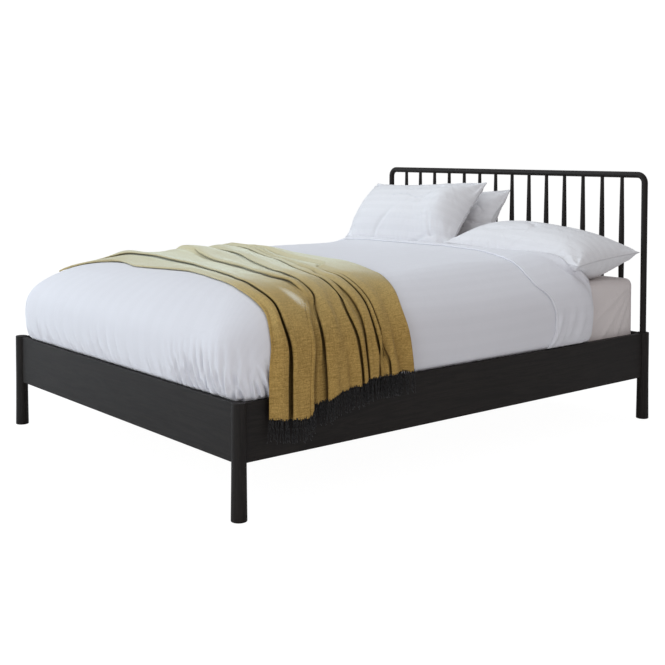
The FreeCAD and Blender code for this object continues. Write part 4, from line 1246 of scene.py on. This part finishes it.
def rest_back(A, B):
    """Squashed towards the front pillow low down, clear of the pillow that lies beside it."""
    for P in (A, B):
        k = smoothstep(0.800, 0.765, P[..., 2])
        lim = 0.006
        P[..., 0] = np.where(P[..., 0] > lim, P[..., 0] * (1 - k) + lim * k, P[..., 0])
        P[..., 0] = np.minimum(P[..., 0], np.interp(P[..., 2], [0.760, 0.800, 0.840, 0.880, 0.910], [0.010, 0.019, 0.033, 0.056, 0.090]))
        P[..., 1] = np.minimum(P[..., 1], 1.009)
        P[..., 2] = np.maximum(P[..., 2], 0.5915)
    return A, B


def rest_near(A, B):
    for P in (A, B):
        for idx in np.ndindex(P.shape[:2]):
            x, y, z = P[idx]
            g_ = duvet_z(x, y, 0.5895) + 0.0015 if y < 0.70 else 0.5915
            if z < g_:
                P[idx][2] = g_
            if P[idx][1] > 1.006:
                P[idx][1] = 1.006
    return A, B


# leaning, in front
tl, tr = on_plane(378, 183.5, 1, 0.905), on_plane(487, 182.5, 1, 0.905)
bl, br = np.array([-0.735, 0.655, 0.672]), np.array([0.000, 0.655, 0.672])
front, front_seam, _, _ = pillow("pillow_front_case", [bl, br, tr, tl], 0.75, 0.50, 0.21, 11, sateen, 1.0, 0.70, shape=rest_front, depth=2.6, pull=(0.012, 0.085), gamma=1.0, crown=lambda a, b, s: (0.62 + 0.40 * smoothstep(0.0, 0.34, b)) * (1 + 0.46 * np.exp(-((a - 0.87) / 0.12) ** 2) * smoothstep(0.98, 0.60, b)) if s > 0 else 0.9)
# leaning, behind
tr2 = on_plane(510, 190, 1, 0.985)
tl2 = np.array([-0.660, 0.985, tr2[2] + 0.004])
bl2, br2 = np.array([-0.655, 0.905, 0.640]), np.array([0.030, 0.905, 0.640])
back, back_seam, _, _ = pillow("pillow_back_case", [bl2, br2, tr2, tl2], 0.75, 0.50, 0.15, 23, sateen, 0.95, 0.30, shape=rest_back, pull=(0.015, 0.05), gamma=0.95)
# lying on the near side
n1 = np.array([0.768, 0.600, 0.664])
n2 = np.array([0.783, 0.985, 0.700])
n3 = np.array([0.0255, 0.975, 0.700])
n4 = np.array([0.0255, 0.610, 0.712])
near_p, near_seam, _, _ = pillow("pillow_near_case", [n4, n1, n2, n3], 0.75, 0.50, 0.24, 5, sateen, 1.0, 0.85, shape=rest_near, pull=(0.02, 0.05), gamma=1.0, crown=lambda a, b, s: 1.04 - 0.10 * a if s > 0 else 0.45 + 0.85 * smoothstep(0.40, 0.95, a))
for o, s, body, node in ((front, front_seam, "pillow_front", "pillow_front"), (back, back_seam, "pillow_back", "pillow_back"), (near_p, near_seam, "pillow_near", "pillow_near")):
    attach(o, body)
    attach(s, body)
    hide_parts(node)


# ---------------------------------------------------------------- throw
guide = [(-0.705, 0.650), (-0.680, 0.662)] + [(x, 0.672) for x in np.arange(-0.65, 0.50, 0.05)]
gx, gz, grx, grz = 0.510, 0.490, 0.282, 0.183
for a in range(6, 91, 6):
    t = math.radians(a)
    guide.append((gx + grx * math.sin(t) ** (2 / 2.1), gz + grz * (math.cos(t) ** (2 / 2.1) if a < 90 else 0)))
guide += [(0.792, z) for z in np.arange(0.48, 0.24, -0.02)]
guide = np.array(guide)
g_arc = np.concatenate([[0], np.cumsum(np.hypot(*np.diff(guide, axis=0).T))])


def guide_at(p):
    x, z = np.interp(p, g_arc, guide[:, 0]), np.interp(p, g_arc, guide[:, 1])
    e = 0.012
    tx = np.interp(p + e, g_arc, guide[:, 0]) - np.interp(p - e, g_arc, guide[:, 0])
    tz = np.interp(p + e, g_arc, guide[:, 1]) - np.interp(p - e, g_arc, guide[:, 1])
    l = np.hypot(tx, tz)
    return x, z, -tz / l, tx / l


def to_py(px, py):
    """A point of the photograph's frame, on the duvet, as (distance along the throw's path, y)."""
    d = sight(px, py)
    hit = duvet_bvh.ray_cast(Vector(CAM), Vector(d))
    if hit[0] is None:
        return None
    h = np.array(hit[0])
    if h[0] > 0.745 or h[2] < 0.50:
        h = on_plane(px, py, 0, 0.792)
        h[2] = min(h[2], 0.60)
    pp = np.linspace(0, g_arc[-1], 1500)
    X, Z, _, _ = guide_at(pp)
    k = np.argmin((X - h[0]) ** 2 + (Z - h[2]) ** 2)
    return pp[k], h[1]


FOLDS = {
    "edge": [(92, 262), (120, 262.4), (135, 267.6), (190, 272), (226, 283.4), (240, 292), (255, 303), (268, 318), (272, 326), (273, 335), (272, 345), (268.5, 362), (268, 419.5)],
    "f1": [(130, 261), (149, 263), (189, 267), (202, 271), (229, 279), (240, 284), (262, 298), (275, 312), (282, 325), (285, 340), (287, 375), (288, 415)],
    "f2": [(194, 257), (215, 264), (242, 270.5), (262, 277), (277, 282), (287, 283.6), (296, 290), (305, 300), (309, 320), (309, 345), (307, 380), (305.5, 413)],
    "f3": [(221, 253), (256, 265.8), (290, 279), (306, 292.5), (314, 306), (320, 330), (324, 380), (327, 397)],
    "f4": [(248, 253.5), (285, 265.5), (316.6, 279.5), (337, 295.7), (351.8, 314), (356.4, 334.5), (361.5, 374)],
    "f4b": [(327, 281), (342.5, 292), (355.5, 309.5), (362.8, 331.7), (367.5, 374)],
    "f5": [(241, 251), (264, 256), (300, 266), (327.7, 275.3), (351.8, 289), (363.8, 303), (372, 323.4), (374, 333.6), (379, 364)],
    "f6": [(350, 288), (363.8, 306.8), (374, 321.5), (386, 356.7), (389, 368.7)],
    "back": [(265, 252), (300, 257), (345, 262), (372, 272), (388, 283), (397, 297), (404, 315), (408, 335), (411.4, 368.6)],
}
FAR = {"edge": (0.0, -0.900), "f1": (0.0, -0.790), "f2": (0.0, -0.380), "f3": (0.0, -0.235), "f4": (0.0, -0.160), "f5": (0.0, -0.105), "back": (0.0, -0.035)}
line = {}
for k, pts in FOLDS.items():
    got = [q for q in (to_py(*p_) for p_ in pts) if q is not None]
    if k in FAR:
        got = [FAR[k]] + [q for q in got if q[0] > 0.16]
    if k == "edge":
        got.append((0.075, -0.868))
    got.sort()
    keep = [got[0]]
    for q in got[1:]:
        if q[0] - keep[-1][0] > 0.012:
            keep.append(q)
    line[k] = np.array(keep)
HEM = np.array([(-0.960, 0.300), (-0.934, 0.299), (-0.829, 0.287), (-0.789, 0.289), (-0.781, 0.322), (-0.705, 0.327), (-0.699, 0.341), (-0.646, 0.350), (-0.560, 0.357), (-0.535, 0.374), (-0.431, 0.375), (-0.328, 0.380), (-0.30, 0.380)])


def smooth_line(name, p):
    a = line[name]
    y = np.interp(p, a[:, 0], a[:, 1])
    k = 9
    pad = np.concatenate([np.full(k, y[0]) + (np.arange(k) - k) * (y[1] - y[0]), y, np.full(k, y[-1]) + (np.arange(k) + 1) * (y[-1] - y[-2])])
    ker = np.hanning(2 * k + 3)[1:-1]
    ker /= ker.sum()
    return np.convolve(pad, ker, "valid")


NP_ = 210
P_TOP = g_arc[-1]
p_z = np.interp(0.50, guide[::-1, 1], g_arc[::-1])
pl = np.linspace(0.0, 1.0, NP_)
p_nom = pl * (P_TOP - 0.02)
C = {k: smooth_line(k, p_nom) for k in line}

# control points across the throw: (line, offset in y, height) in cloth order from the foot side to the head side
on_side = smoothstep(1.25, 1.57, p_nom)
far_part = smoothstep(0.60, 0.15, p_nom)


p_f2 = line["f2"][1][0]


def build_section():
    """Control curves across the cloth: lists of y and height, each over p."""
    ys, hs, tags = [], [], []

    def put(y, h, tag):
        ys.append(np.broadcast_to(y, p_nom.shape).astype(float))
        hs.append(np.broadcast_to(h, p_nom.shape).astype(float))
        tags.append(tag)

    def pleat(name, over, lift, base=0.003, start=None):
        """The cloth goes under its neighbour by over, comes back, turns and goes on above it."""
        f = C[name]
        on = np.ones_like(f) if start is None else smoothstep(start, start + 0.22, p_nom)
        o_ = over * on
        l_ = lift * on * (0.50 + 0.50 * on_side)
        put(f - 0.004, base + 0.0005, "t")
        put(f + o_ * 0.80, base + 0.0005, "t")
        put(f + o_, base + l_ * 0.22, "t")
        put(f + o_ * 0.75, base + l_ * 0.42, "t")
        put(f + 0.006 * on + 0.001, base + l_ * 0.50, "t")
        put(f - 0.0025 * on + 0.002, base + l_ * 0.78, "t")
        put(f + 0.007 * on + 0.003, base + l_ * 1.05, "t")
        return o_, l_

    def panel(a, b, shape, n=4, lo=0.004):
        """Points between two curves; shape(t) gives the height."""
        for t in np.linspace(0, 1, n + 2)[1:-1]:
            put(a * (1 - t) + b * t, shape(t), "p")

    e, f1, f2, f3, f4, f4b, f5, f6, bk = (C[k] for k in ("edge", "f1", "f2", "f3", "f4", "f4b", "f5", "f6", "back"))
    put(e + 0.0015, 0.0015, "t")
    put(e - 0.0005, 0.0035, "t")
    put(e + 0.002, 0.0062, "t")
    put(e + 0.007, 0.0060, "t")
    low_ = smoothstep(1.55, 1.69, p_nom)
    on2 = smoothstep(p_f2 - 0.05, p_f2 + 0.09, p_nom)
    s1 = 0.0040 + 0.021 * on_side * (1 - 0.35 * low_)
    panel(e + 0.007, f1, lambda t: 0.006 + s1 * float(smoothstep(-0.05, 0.40, t)) * (1 - 0.55 * float(smoothstep(0.72, 1.0, t)) * on_side), 4)
    # the first line: on the side the upper layer stands off, and the hollow under it is dark
    o1 = 0.034 * (1 - low_) + 0.027 * low_
    l1 = 0.013 * (1 - on_side) + 0.030 * on_side * (1 - 0.30 * low_)
    put(f1 - 0.006, 0.0035, "t")
    put(f1 + o1 * 0.80, 0.0035, "t")
    put(f1 + o1, 0.0035 + l1 * 0.15, "t")
    put(f1 + o1 * 0.80, 0.0035 + l1 * 0.38, "t")
    put(f1 + 0.006 + 0.005 * on_side, 0.0035 + l1 * 0.62, "t")
    put(f1 + 0.006 * on_side, 0.0035 + l1 * 0.86, "t")
    put(f1 + 0.007 + 0.007 * on_side, 0.0035 + l1 * 1.05, "t")
    panel(f1 + 0.018, f2, lambda t: (0.015 - 0.007 * t) * (1 - on_side) + (0.034 - 0.006 * t - 0.010 * low_ * (1 - t)) * on_side + 0.010 * far_part * math.sin(math.pi * t), 6)
    # the second line is a pleat on the top, and a free, rolled ridge on the side
    put(f2 - 0.012, 0.004 + 0.025 * on_side, "t")
    put(f2 - 0.001, 0.004 + 0.027 * on_side, "t")
    put(f2 + (0.022 - 0.018 * on_side) * on2 + 0.002 * (1 - on2), 0.004 + 0.018 * on_side, "t")
    put(f2 + (0.030 - 0.032 * on_side) * on2 + 0.005 * (1 - on2), 0.007 + 0.003 * on_side, "t")
    put(f2 + (0.020 - 0.025 * on_side) * on2 + 0.008 * (1 - on2), 0.009 - 0.005 * on_side, "t")
    put(f2 + (0.004 - 0.002 * on_side) * on2 + 0.011 * (1 - on2), 0.010 - 0.008 * on_side, "t")
    put(f2 + (-0.001 + 0.013 * on_side) * on2 + 0.014 * (1 - on2), 0.010 + (0.005 - 0.013 * on_side) * on2 + 0.001 * (1 - on2), "t")
    put(f2 + (0.010 + 0.010 * on_side) * on2 + 0.018 * (1 - on2), 0.012 + (0.007 - 0.0165 * on_side) * on2, "t")
    panel(f2 + 0.020, f3, lambda t: 0.013 - 0.006 * t - (0.011 - 0.016 * t) * on_side + 0.005 * math.sin(2 * math.pi * t) * low_, 3)
    pleat("f3", 0.034, 0.021)
    panel(f3 + 0.012, f4, lambda t: 0.0175 - 0.011 * t + 0.0040 * math.sin(math.pi * t) + 0.007 * on_side * math.sin(2.6 * math.pi * t) + 0.005 * low_ * math.sin(5.2 * math.pi * t), 7)
    pleat("f4", 0.024, 0.014)
    panel(f4 + 0.010, f4b, lambda t: 0.014 - 0.006 * t, 1)
    pleat("f4b", 0.018, 0.012, start=1.11)
    panel(f4b + 0.008, f5, lambda t: 0.012 - 0.004 * t + 0.004 * math.sin(math.pi * t), 3)
    pleat("f5", 0.026, 0.014)
    panel(f5 + 0.008, f6, lambda t: 0.011 - 0.005 * t, 2)
    pleat("f6", 0.020, 0.013, start=0.97)
    panel(f6 + 0.010, bk - 0.006, lambda t: 0.013 - 0.007 * t + 0.003 * math.sin(math.pi * t) * (1 - on_side) + (0.008 - 0.022 * math.sin(math.pi * min(1, t * 1.05)) ** 2 + 0.016 * t) * on_side, 7)
    put(bk - 0.004, 0.0050, "t")
    put(bk - 0.0005, 0.0035, "t")
    put(bk - 0.003, 0.0012, "t")
    return np.array(ys), np.array(hs), tags


# f4b and f6 follow their neighbours before they begin
def merge(name, left, right, start, share):
    w = smoothstep(start - 0.05, start + 0.15, p_nom)
    C[name] = C[name] * w + (C[left] * (1 - share) + C[right] * share) * (1 - w)


merge("f4b", "f4", "f5", 1.13, 0.5)
merge("f6", "f5", "back", 1.01, 0.30)
# lines keep their order, a few millimetres apart
order = ["edge", "f1", "f2", "f3", "f4", "f4b", "f5", "f6", "back"]
gap = [0, 0.032, 0.050, 0.040, 0.030, 0.014, 0.016, 0.020, 0.040]
for i in range(1, len(order)):
    C[order[i]] = np.maximum(C[order[i]], C[order[i - 1]] + gap[i])

ys, hs, tags = build_section()
K = len(tags)


def catmull(Y, t_per):
    """Samples a curve family through its control points. Y: (K, n, ...)"""
    out, where = [], []
    for k in range(K - 1):
        m = t_per[k]
        a, b, c_, d_ = Y[max(k - 1, 0)], Y[k], Y[k + 1], Y[min(k + 2, K - 1)]
        for t in np.arange(m) / m:
            out.append(0.5 * ((2 * b) + (c_ - a) * t + (2 * a - 5 * b + 4 * c_ - d_) * t * t + (3 * b - a - 3 * c_ + d_) * t ** 3))
            where.append(k + t)
    out.append(Y[K - 1])
    where.append(K - 1)
    return np.array(out), np.array(where)


per = [3 if tags[k] == "p" or tags[k + 1] == "p" else 2 for k in range(K - 1)]
Yc, where = catmull(ys, per)
Hc, _ = catmull(hs, per)
NU = len(Yc)

# hem: each part of the cloth stops at its own height
z_hem = np.interp(Yc[:, -1], HEM[:, 0], HEM[:, 1])
ker = np.array([1, 2, 1.0])
ker /= ker.sum()
z_hem = np.convolve(np.pad(z_hem, 1, mode="edge"), ker, "valid")
z_hem += 0.0016 * np.sin(where * 1.9) + 0.0012 * np.sin(where * 4.7)
p_hem = np.interp(z_hem, guide[-12:, 1][::-1], g_arc[-12:][::-1])
Pp = np.zeros((NU, NP_))
split = 0.80
ns = int(NP_ * split)
for i in range(NU):
    Pp[i, :ns] = np.linspace(0.0, 1.55, ns)
    Pp[i, ns - 1:] = np.linspace(1.55, p_hem[i], NP_ - ns + 1)
Y2 = np.zeros_like(Pp)
H2 = np.zeros_like(Pp)
for i in range(NU):
    Y2[i] = np.interp(Pp[i], p_nom, Yc[i])
    H2[i] = np.interp(Pp[i], p_nom, Hc[i])

# where the duvet is under each point of the path
yy = np.linspace(-1.02, 0.05, 108)
pg = np.linspace(0, P_TOP, 190)
Dg = np.zeros((len(pg), len(yy)))
GX, GZ, GNX, GNZ = guide_at(pg)
for i in range(len(pg)):
    n_ = Vector((GNX[i], 0, GNZ[i]))
    for j, y_ in enumerate(yy):
        o_ = Vector((GX[i], y_, GZ[i])) + n_ * 0.2
        hit = duvet_bvh.ray_cast(o_, -n_, 0.32)
        Dg[i, j] = 0.2 - hit[3] if hit[0] is not None else -0.12
        lowest = -0.0060 if GX[i] > 0.78 else -0.035
        Dg[i, j] = max(Dg[i, j], lowest)
# it hangs straight from its widest point
hang = np.where(pg > p_z - 0.02)[0]
for i in hang:
    Dg[i] = np.maximum(np.maximum(Dg[i], Dg[i - 1] if i > hang[0] else GX[i - 1] + Dg[i - 1] - GX[i]), -0.0060)
for _ in range(4):
    S_ = Dg.copy()
    S_[1:-1] = (Dg[:-2] + 2 * Dg[1:-1] + Dg[2:]) / 4
    S_[:, 1:-1] = (S_[:, :-2] + 2 * S_[:, 1:-1] + S_[:, 2:]) / 4
    Dg = np.maximum(S_, Dg - 0.0015)


def bilinear(Dm, p, y):
    a = np.clip((p - pg[0]) / (pg[1] - pg[0]), 0, len(pg) - 1.001)
    b = np.clip((y - yy[0]) / (yy[1] - yy[0]), 0, len(yy) - 1.001)
    i, j = a.astype(int), b.astype(int)
    fa, fb = a - i, b - j
    return (Dm[i, j] * (1 - fa) * (1 - fb) + Dm[i + 1, j] * fa * (1 - fb) + Dm[i, j + 1] * (1 - fa) * fb + Dm[i + 1, j + 1] * fa * fb)


base_off = bilinear(Dg, Pp, Y2)
# the far end is bunched: rolls of cloth that stand above the duvet
rolls = 0.021 * np.exp(-((Y2 + 0.660) / 0.055) ** 2) * smoothstep(0.62, 0.30, Pp)
rolls += 0.026 * np.exp(-((Y2 + 0.395 + 0.10 * (Pp - 0.3)) / 0.070) ** 2) * smoothstep(0.75, 0.25, Pp)
rolls += 0.016 * np.exp(-((Y2 + 0.165) / 0.070) ** 2) * smoothstep(0.95, 0.35, Pp)
rolls *= smoothstep(-0.02, 0.14, Pp) * 0.85 + 0.15
wv = noise3(np.stack([Pp * 1.2, Y2 * 3.0, np.zeros_like(Pp)], -1), 3.2, 6.0) * 0.0022
ripple = noise3(np.stack([Pp * 5.0, where[:, None] * 0.35 + 0 * Pp, np.zeros_like(Pp)], -1), 1.6, 2.0) * 0.0013
# two pockets where a fold opens: elongated hollows with raised lips
for (pc, yc, lp, wy, dep) in ((1.425, -0.545, 0.060, 0.016, 0.013), (1.635, -0.470, 0.085, 0.016, 0.014), (1.45, -0.700, 0.075, 0.022, 0.010)):
    tp = (Pp - pc) / lp
    dy = (Y2 - yc + 0.10 * (Pp - pc)) / wy
    H2 = H2 - dep * np.exp(-tp ** 2) * (np.exp(-dy ** 2) - 0.45 * np.exp(-((np.abs(dy) - 1.7) / 0.7) ** 2))
H2 = np.maximum(H2, 0.0008)
H3 = H2 + rolls + np.clip(wv + ripple, -0.0015, 0.004) * smoothstep(0.002, 0.006, H2) + 0.0025
GXp, GZp, NXp, NZp = guide_at(Pp.ravel())
GXp, GZp, NXp, NZp = (q.reshape(Pp.shape) for q in (GXp, GZp, NXp, NZp))
T = np.stack([GXp + NXp * (base_off + H3), Y2, GZp + NZp * (base_off + H3)], -1)
T[..., 0] = np.where(T[..., 2] < 0.372, np.maximum(T[..., 0], 0.7845), T[..., 0])
su = np.concatenate([np.zeros((1, NP_)), np.cumsum(np.linalg.norm(np.diff(T, axis=0), axis=-1), 0)])
uvT = np.stack([su, Pp], -1).reshape(-1, 2)
# the crest that gets the painted highlight: the cloth's point nearest the eye on that line of sight
toward = sight(294.5, 294.0)
rel_ = T.reshape(-1, 3) - CAM
along_ = rel_ @ toward
aside = np.linalg.norm(rel_ - along_[:, None] * toward, axis=1)
crest = T.reshape(-1, 3)[np.argmin(np.where(aside < 0.010, along_, 99.0))]
throw_mat = twill("throw_wool", (0.240, 0.142, 0.036), (0.625, 0.405, 0.128), tuple(crest))
throw = make_obj("throw_blanket", T.reshape(-1, 3), grid_faces(NU, NP_), throw_mat, uvT)
throw_solid = throw.modifiers.new("cloth_thickness", "SOLIDIFY")
throw_solid.thickness = 0.0022
throw_solid.offset = 0.0
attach(throw, "throw")
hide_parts("throw")

fringe_mat = yarn_mat("fringe_yarn", (0.0075, 0.0068, 0.0070))
fv, ff = [], []


def tassel(root, down, out, length_, r):
    """A knotted, twisted end of yarn."""
    k = 9
    sway_y, sway_x = r.normal(0, 0.007), max(-0.0008, r.normal(0.0006, 0.0020))
    curl = r.uniform(-1, 1)
    path, rad = [], []
    for t in np.linspace(0, 1, k):
        q = root + down * (length_ * t)
        q = q + np.array([0, 1, 0]) * (sway_y * t ** 1.4 + 0.0016 * math.sin(5 * t * math.pi + curl * 3))
        q = q + out * (sway_x * t + 0.0008 * math.sin(4 * t * math.pi + curl) + 0.0008)
        path.append(q)
        rad.append(0.0011 + 0.0010 * math.exp(-((t - 0.07) / 0.06) ** 2) + 0.0005 * math.sin(t * math.pi) - 0.0004 * t + (0.0006 if t > 0.97 else 0))
    path = np.array(path)
    sides = 5
    tt = np.gradient(path, axis=0)
    tt /= np.linalg.norm(tt, axis=1, keepdims=True) + 1e-12
    a = np.cross(tt, np.array([0.3, 0.9, 0.1]))
    a /= np.linalg.norm(a, axis=1, keepdims=True) + 1e-12
    b = np.cross(tt, a)
    s0 = len(fv)
    for i in range(k):
        for m_ in range(sides):
            an = 2 * math.pi * m_ / sides + i * 0.6
            fv.append(path[i] + rad[i] * (a[i] * math.cos(an) + b[i] * math.sin(an)))
    for i in range(k - 1):
        for m_ in range(sides):
            m2 = (m_ + 1) % sides
            ff.append((s0 + i * sides + m_, s0 + (i + 1) * sides + m_, s0 + (i + 1) * sides + m2, s0 + i * sides + m2))
    ff.append(tuple(s0 + m_ for m_ in range(sides)))
    ff.append(tuple(s0 + (k - 1) * sides + m_ for m_ in reversed(range(sides))))


fr = np.random.default_rng(21)
hem_len = np.concatenate([[0], np.cumsum(np.linalg.norm(np.diff(T[:, -1], axis=0), axis=1))])
for s_ in np.arange(0.003, hem_len[-1], 0.0084):
    q = np.array([np.interp(s_, hem_len, T[:, -1, a]) for a in range(3)])
    q = q + np.array([0.0, fr.normal(0, 0.001), 0.005])
    q[0] = max(q[0], 0.7865)
    tassel(q, np.array([0.0, 0.0, -1.0]), np.array([1.0, 0, 0]), fr.uniform(0.070, 0.083), fr)
    if fr.random() < (0.30 if q[1] < -0.5 else 0.55):
        q2 = q + np.array([0.0016, fr.normal(0, 0.002), 0])
        tassel(q2, np.array([0.0, 0.0, -1.0]), np.array([1.0, 0, 0]), fr.uniform(0.060, 0.080), fr)
fringe = make_obj("throw_fringe_yarn", np.array(fv), ff, fringe_mat)
fix_normals(fringe)
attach(fringe, "throw")
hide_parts("throw_fringe")


# ---------------------------------------------------------------- stage and light
fm, fnt, fp = new_mat("studio_floor")
fn = noise_tex(fnt, coords(fnt), 0.6, 2, 0.5)
fnt.links.new(mix_rgb(fnt, fn, (0.86, 0.86, 0.86), (0.89, 0.89, 0.89)), fp.inputs["Base Color"])
fp.inputs["Roughness"].default_value = 0.95
fp.inputs["Specular IOR Level"].default_value = 0.1
# the studio floor is lit up to white for the eye, as a lit cove is; the bed still sees a plain pale floor
flp = fnt.nodes.new("ShaderNodeLightPath")
fem = fnt.nodes.new("ShaderNodeEmission")
fem.inputs["Color"].default_value = (1, 1, 1, 1)
fem.inputs["Strength"].default_value = 1.13
fmix = fnt.nodes.new("ShaderNodeMixShader")
fnt.links.new(maths(fnt, "MULTIPLY", flp.outputs["Is Camera Ray"], 0.86), fmix.inputs[0])
fnt.links.new(fp.outputs[0], fmix.inputs[1])
fnt.links.new(fem.outputs[0], fmix.inputs[2])
fnt.links.new(fmix.outputs[0], fnt.nodes["Material Output"].inputs["Surface"])
floor = make_obj("studio_floor", np.array([(-60, -60, 0), (60, -60, 0), (60, 60, 0), (-60, 60, 0)]), [(0, 1, 2, 3)], fm, smooth=False)

world = bpy.data.worlds.new("studio")
scene.world = world
world.use_nodes = True
wnt = world.node_tree
bg = wnt.nodes["Background"]
out_w = wnt.nodes["World Output"]
bg.inputs["Color"].default_value = (0.995, 0.975, 1.0, 1)
bg.inputs["Strength"].default_value = 0.330
bg2 = wnt.nodes.new("ShaderNodeBackground")
bg2.inputs["Color"].default_value = (1, 1, 1, 1)
bg2.inputs["Strength"].default_value = 1.05
lp = wnt.nodes.new("ShaderNodeLightPath")
mixw = wnt.nodes.new("ShaderNodeMixShader")
wnt.links.new(lp.outputs["Is Camera Ray"], mixw.inputs[0])
wnt.links.new(bg.outputs[0], mixw.inputs[1])
wnt.links.new(bg2.outputs[0], mixw.inputs[2])
wnt.links.new(mixw.outputs[0], out_w.inputs["Surface"])


def area_light(name, loc, target, size, power, colour):
    d_ = bpy.data.lights.new(name, "AREA")
    d_.shape = "RECTANGLE"
    d_.size, d_.size_y = size
    d_.energy = power
    d_.color = colour
    o = bpy.data.objects.new(name, d_)
    scene.collection.objects.link(o)
    o.location = loc
    o.rotation_mode = "QUATERNION"
    o.rotation_quaternion = (Vector(target) - Vector(loc)).to_track_quat("-Z", "Y")
    return o


area_light("window_key", (-4.5, -4.2, 2.5), (0, -0.2, 0.5), (4.2, 2.8), 180, (0.80, 0.905, 1.0))
area_light("foot_window", (3.2, -5.8, 2.0), (0.2, -0.4, 0.45), (2.2, 2.2), 58, (0.93, 0.96, 1.0))
area_light("overhead", (-0.8, 0.2, 5.0), (0, 0, 0.5), (4.5, 4.5), 90, (0.86, 0.94, 1.0))
area_light("near_fill", (4.5, -0.7, 2.2), (0.2, -0.4, 0.5), (2.6, 2.4), 13, (1.0, 0.93, 0.92))

scene.view_settings.view_transform = "Standard"
scene.view_settings.look = "None"
scene.view_settings.exposure = 0.0
scene.view_settings.gamma = 1.0
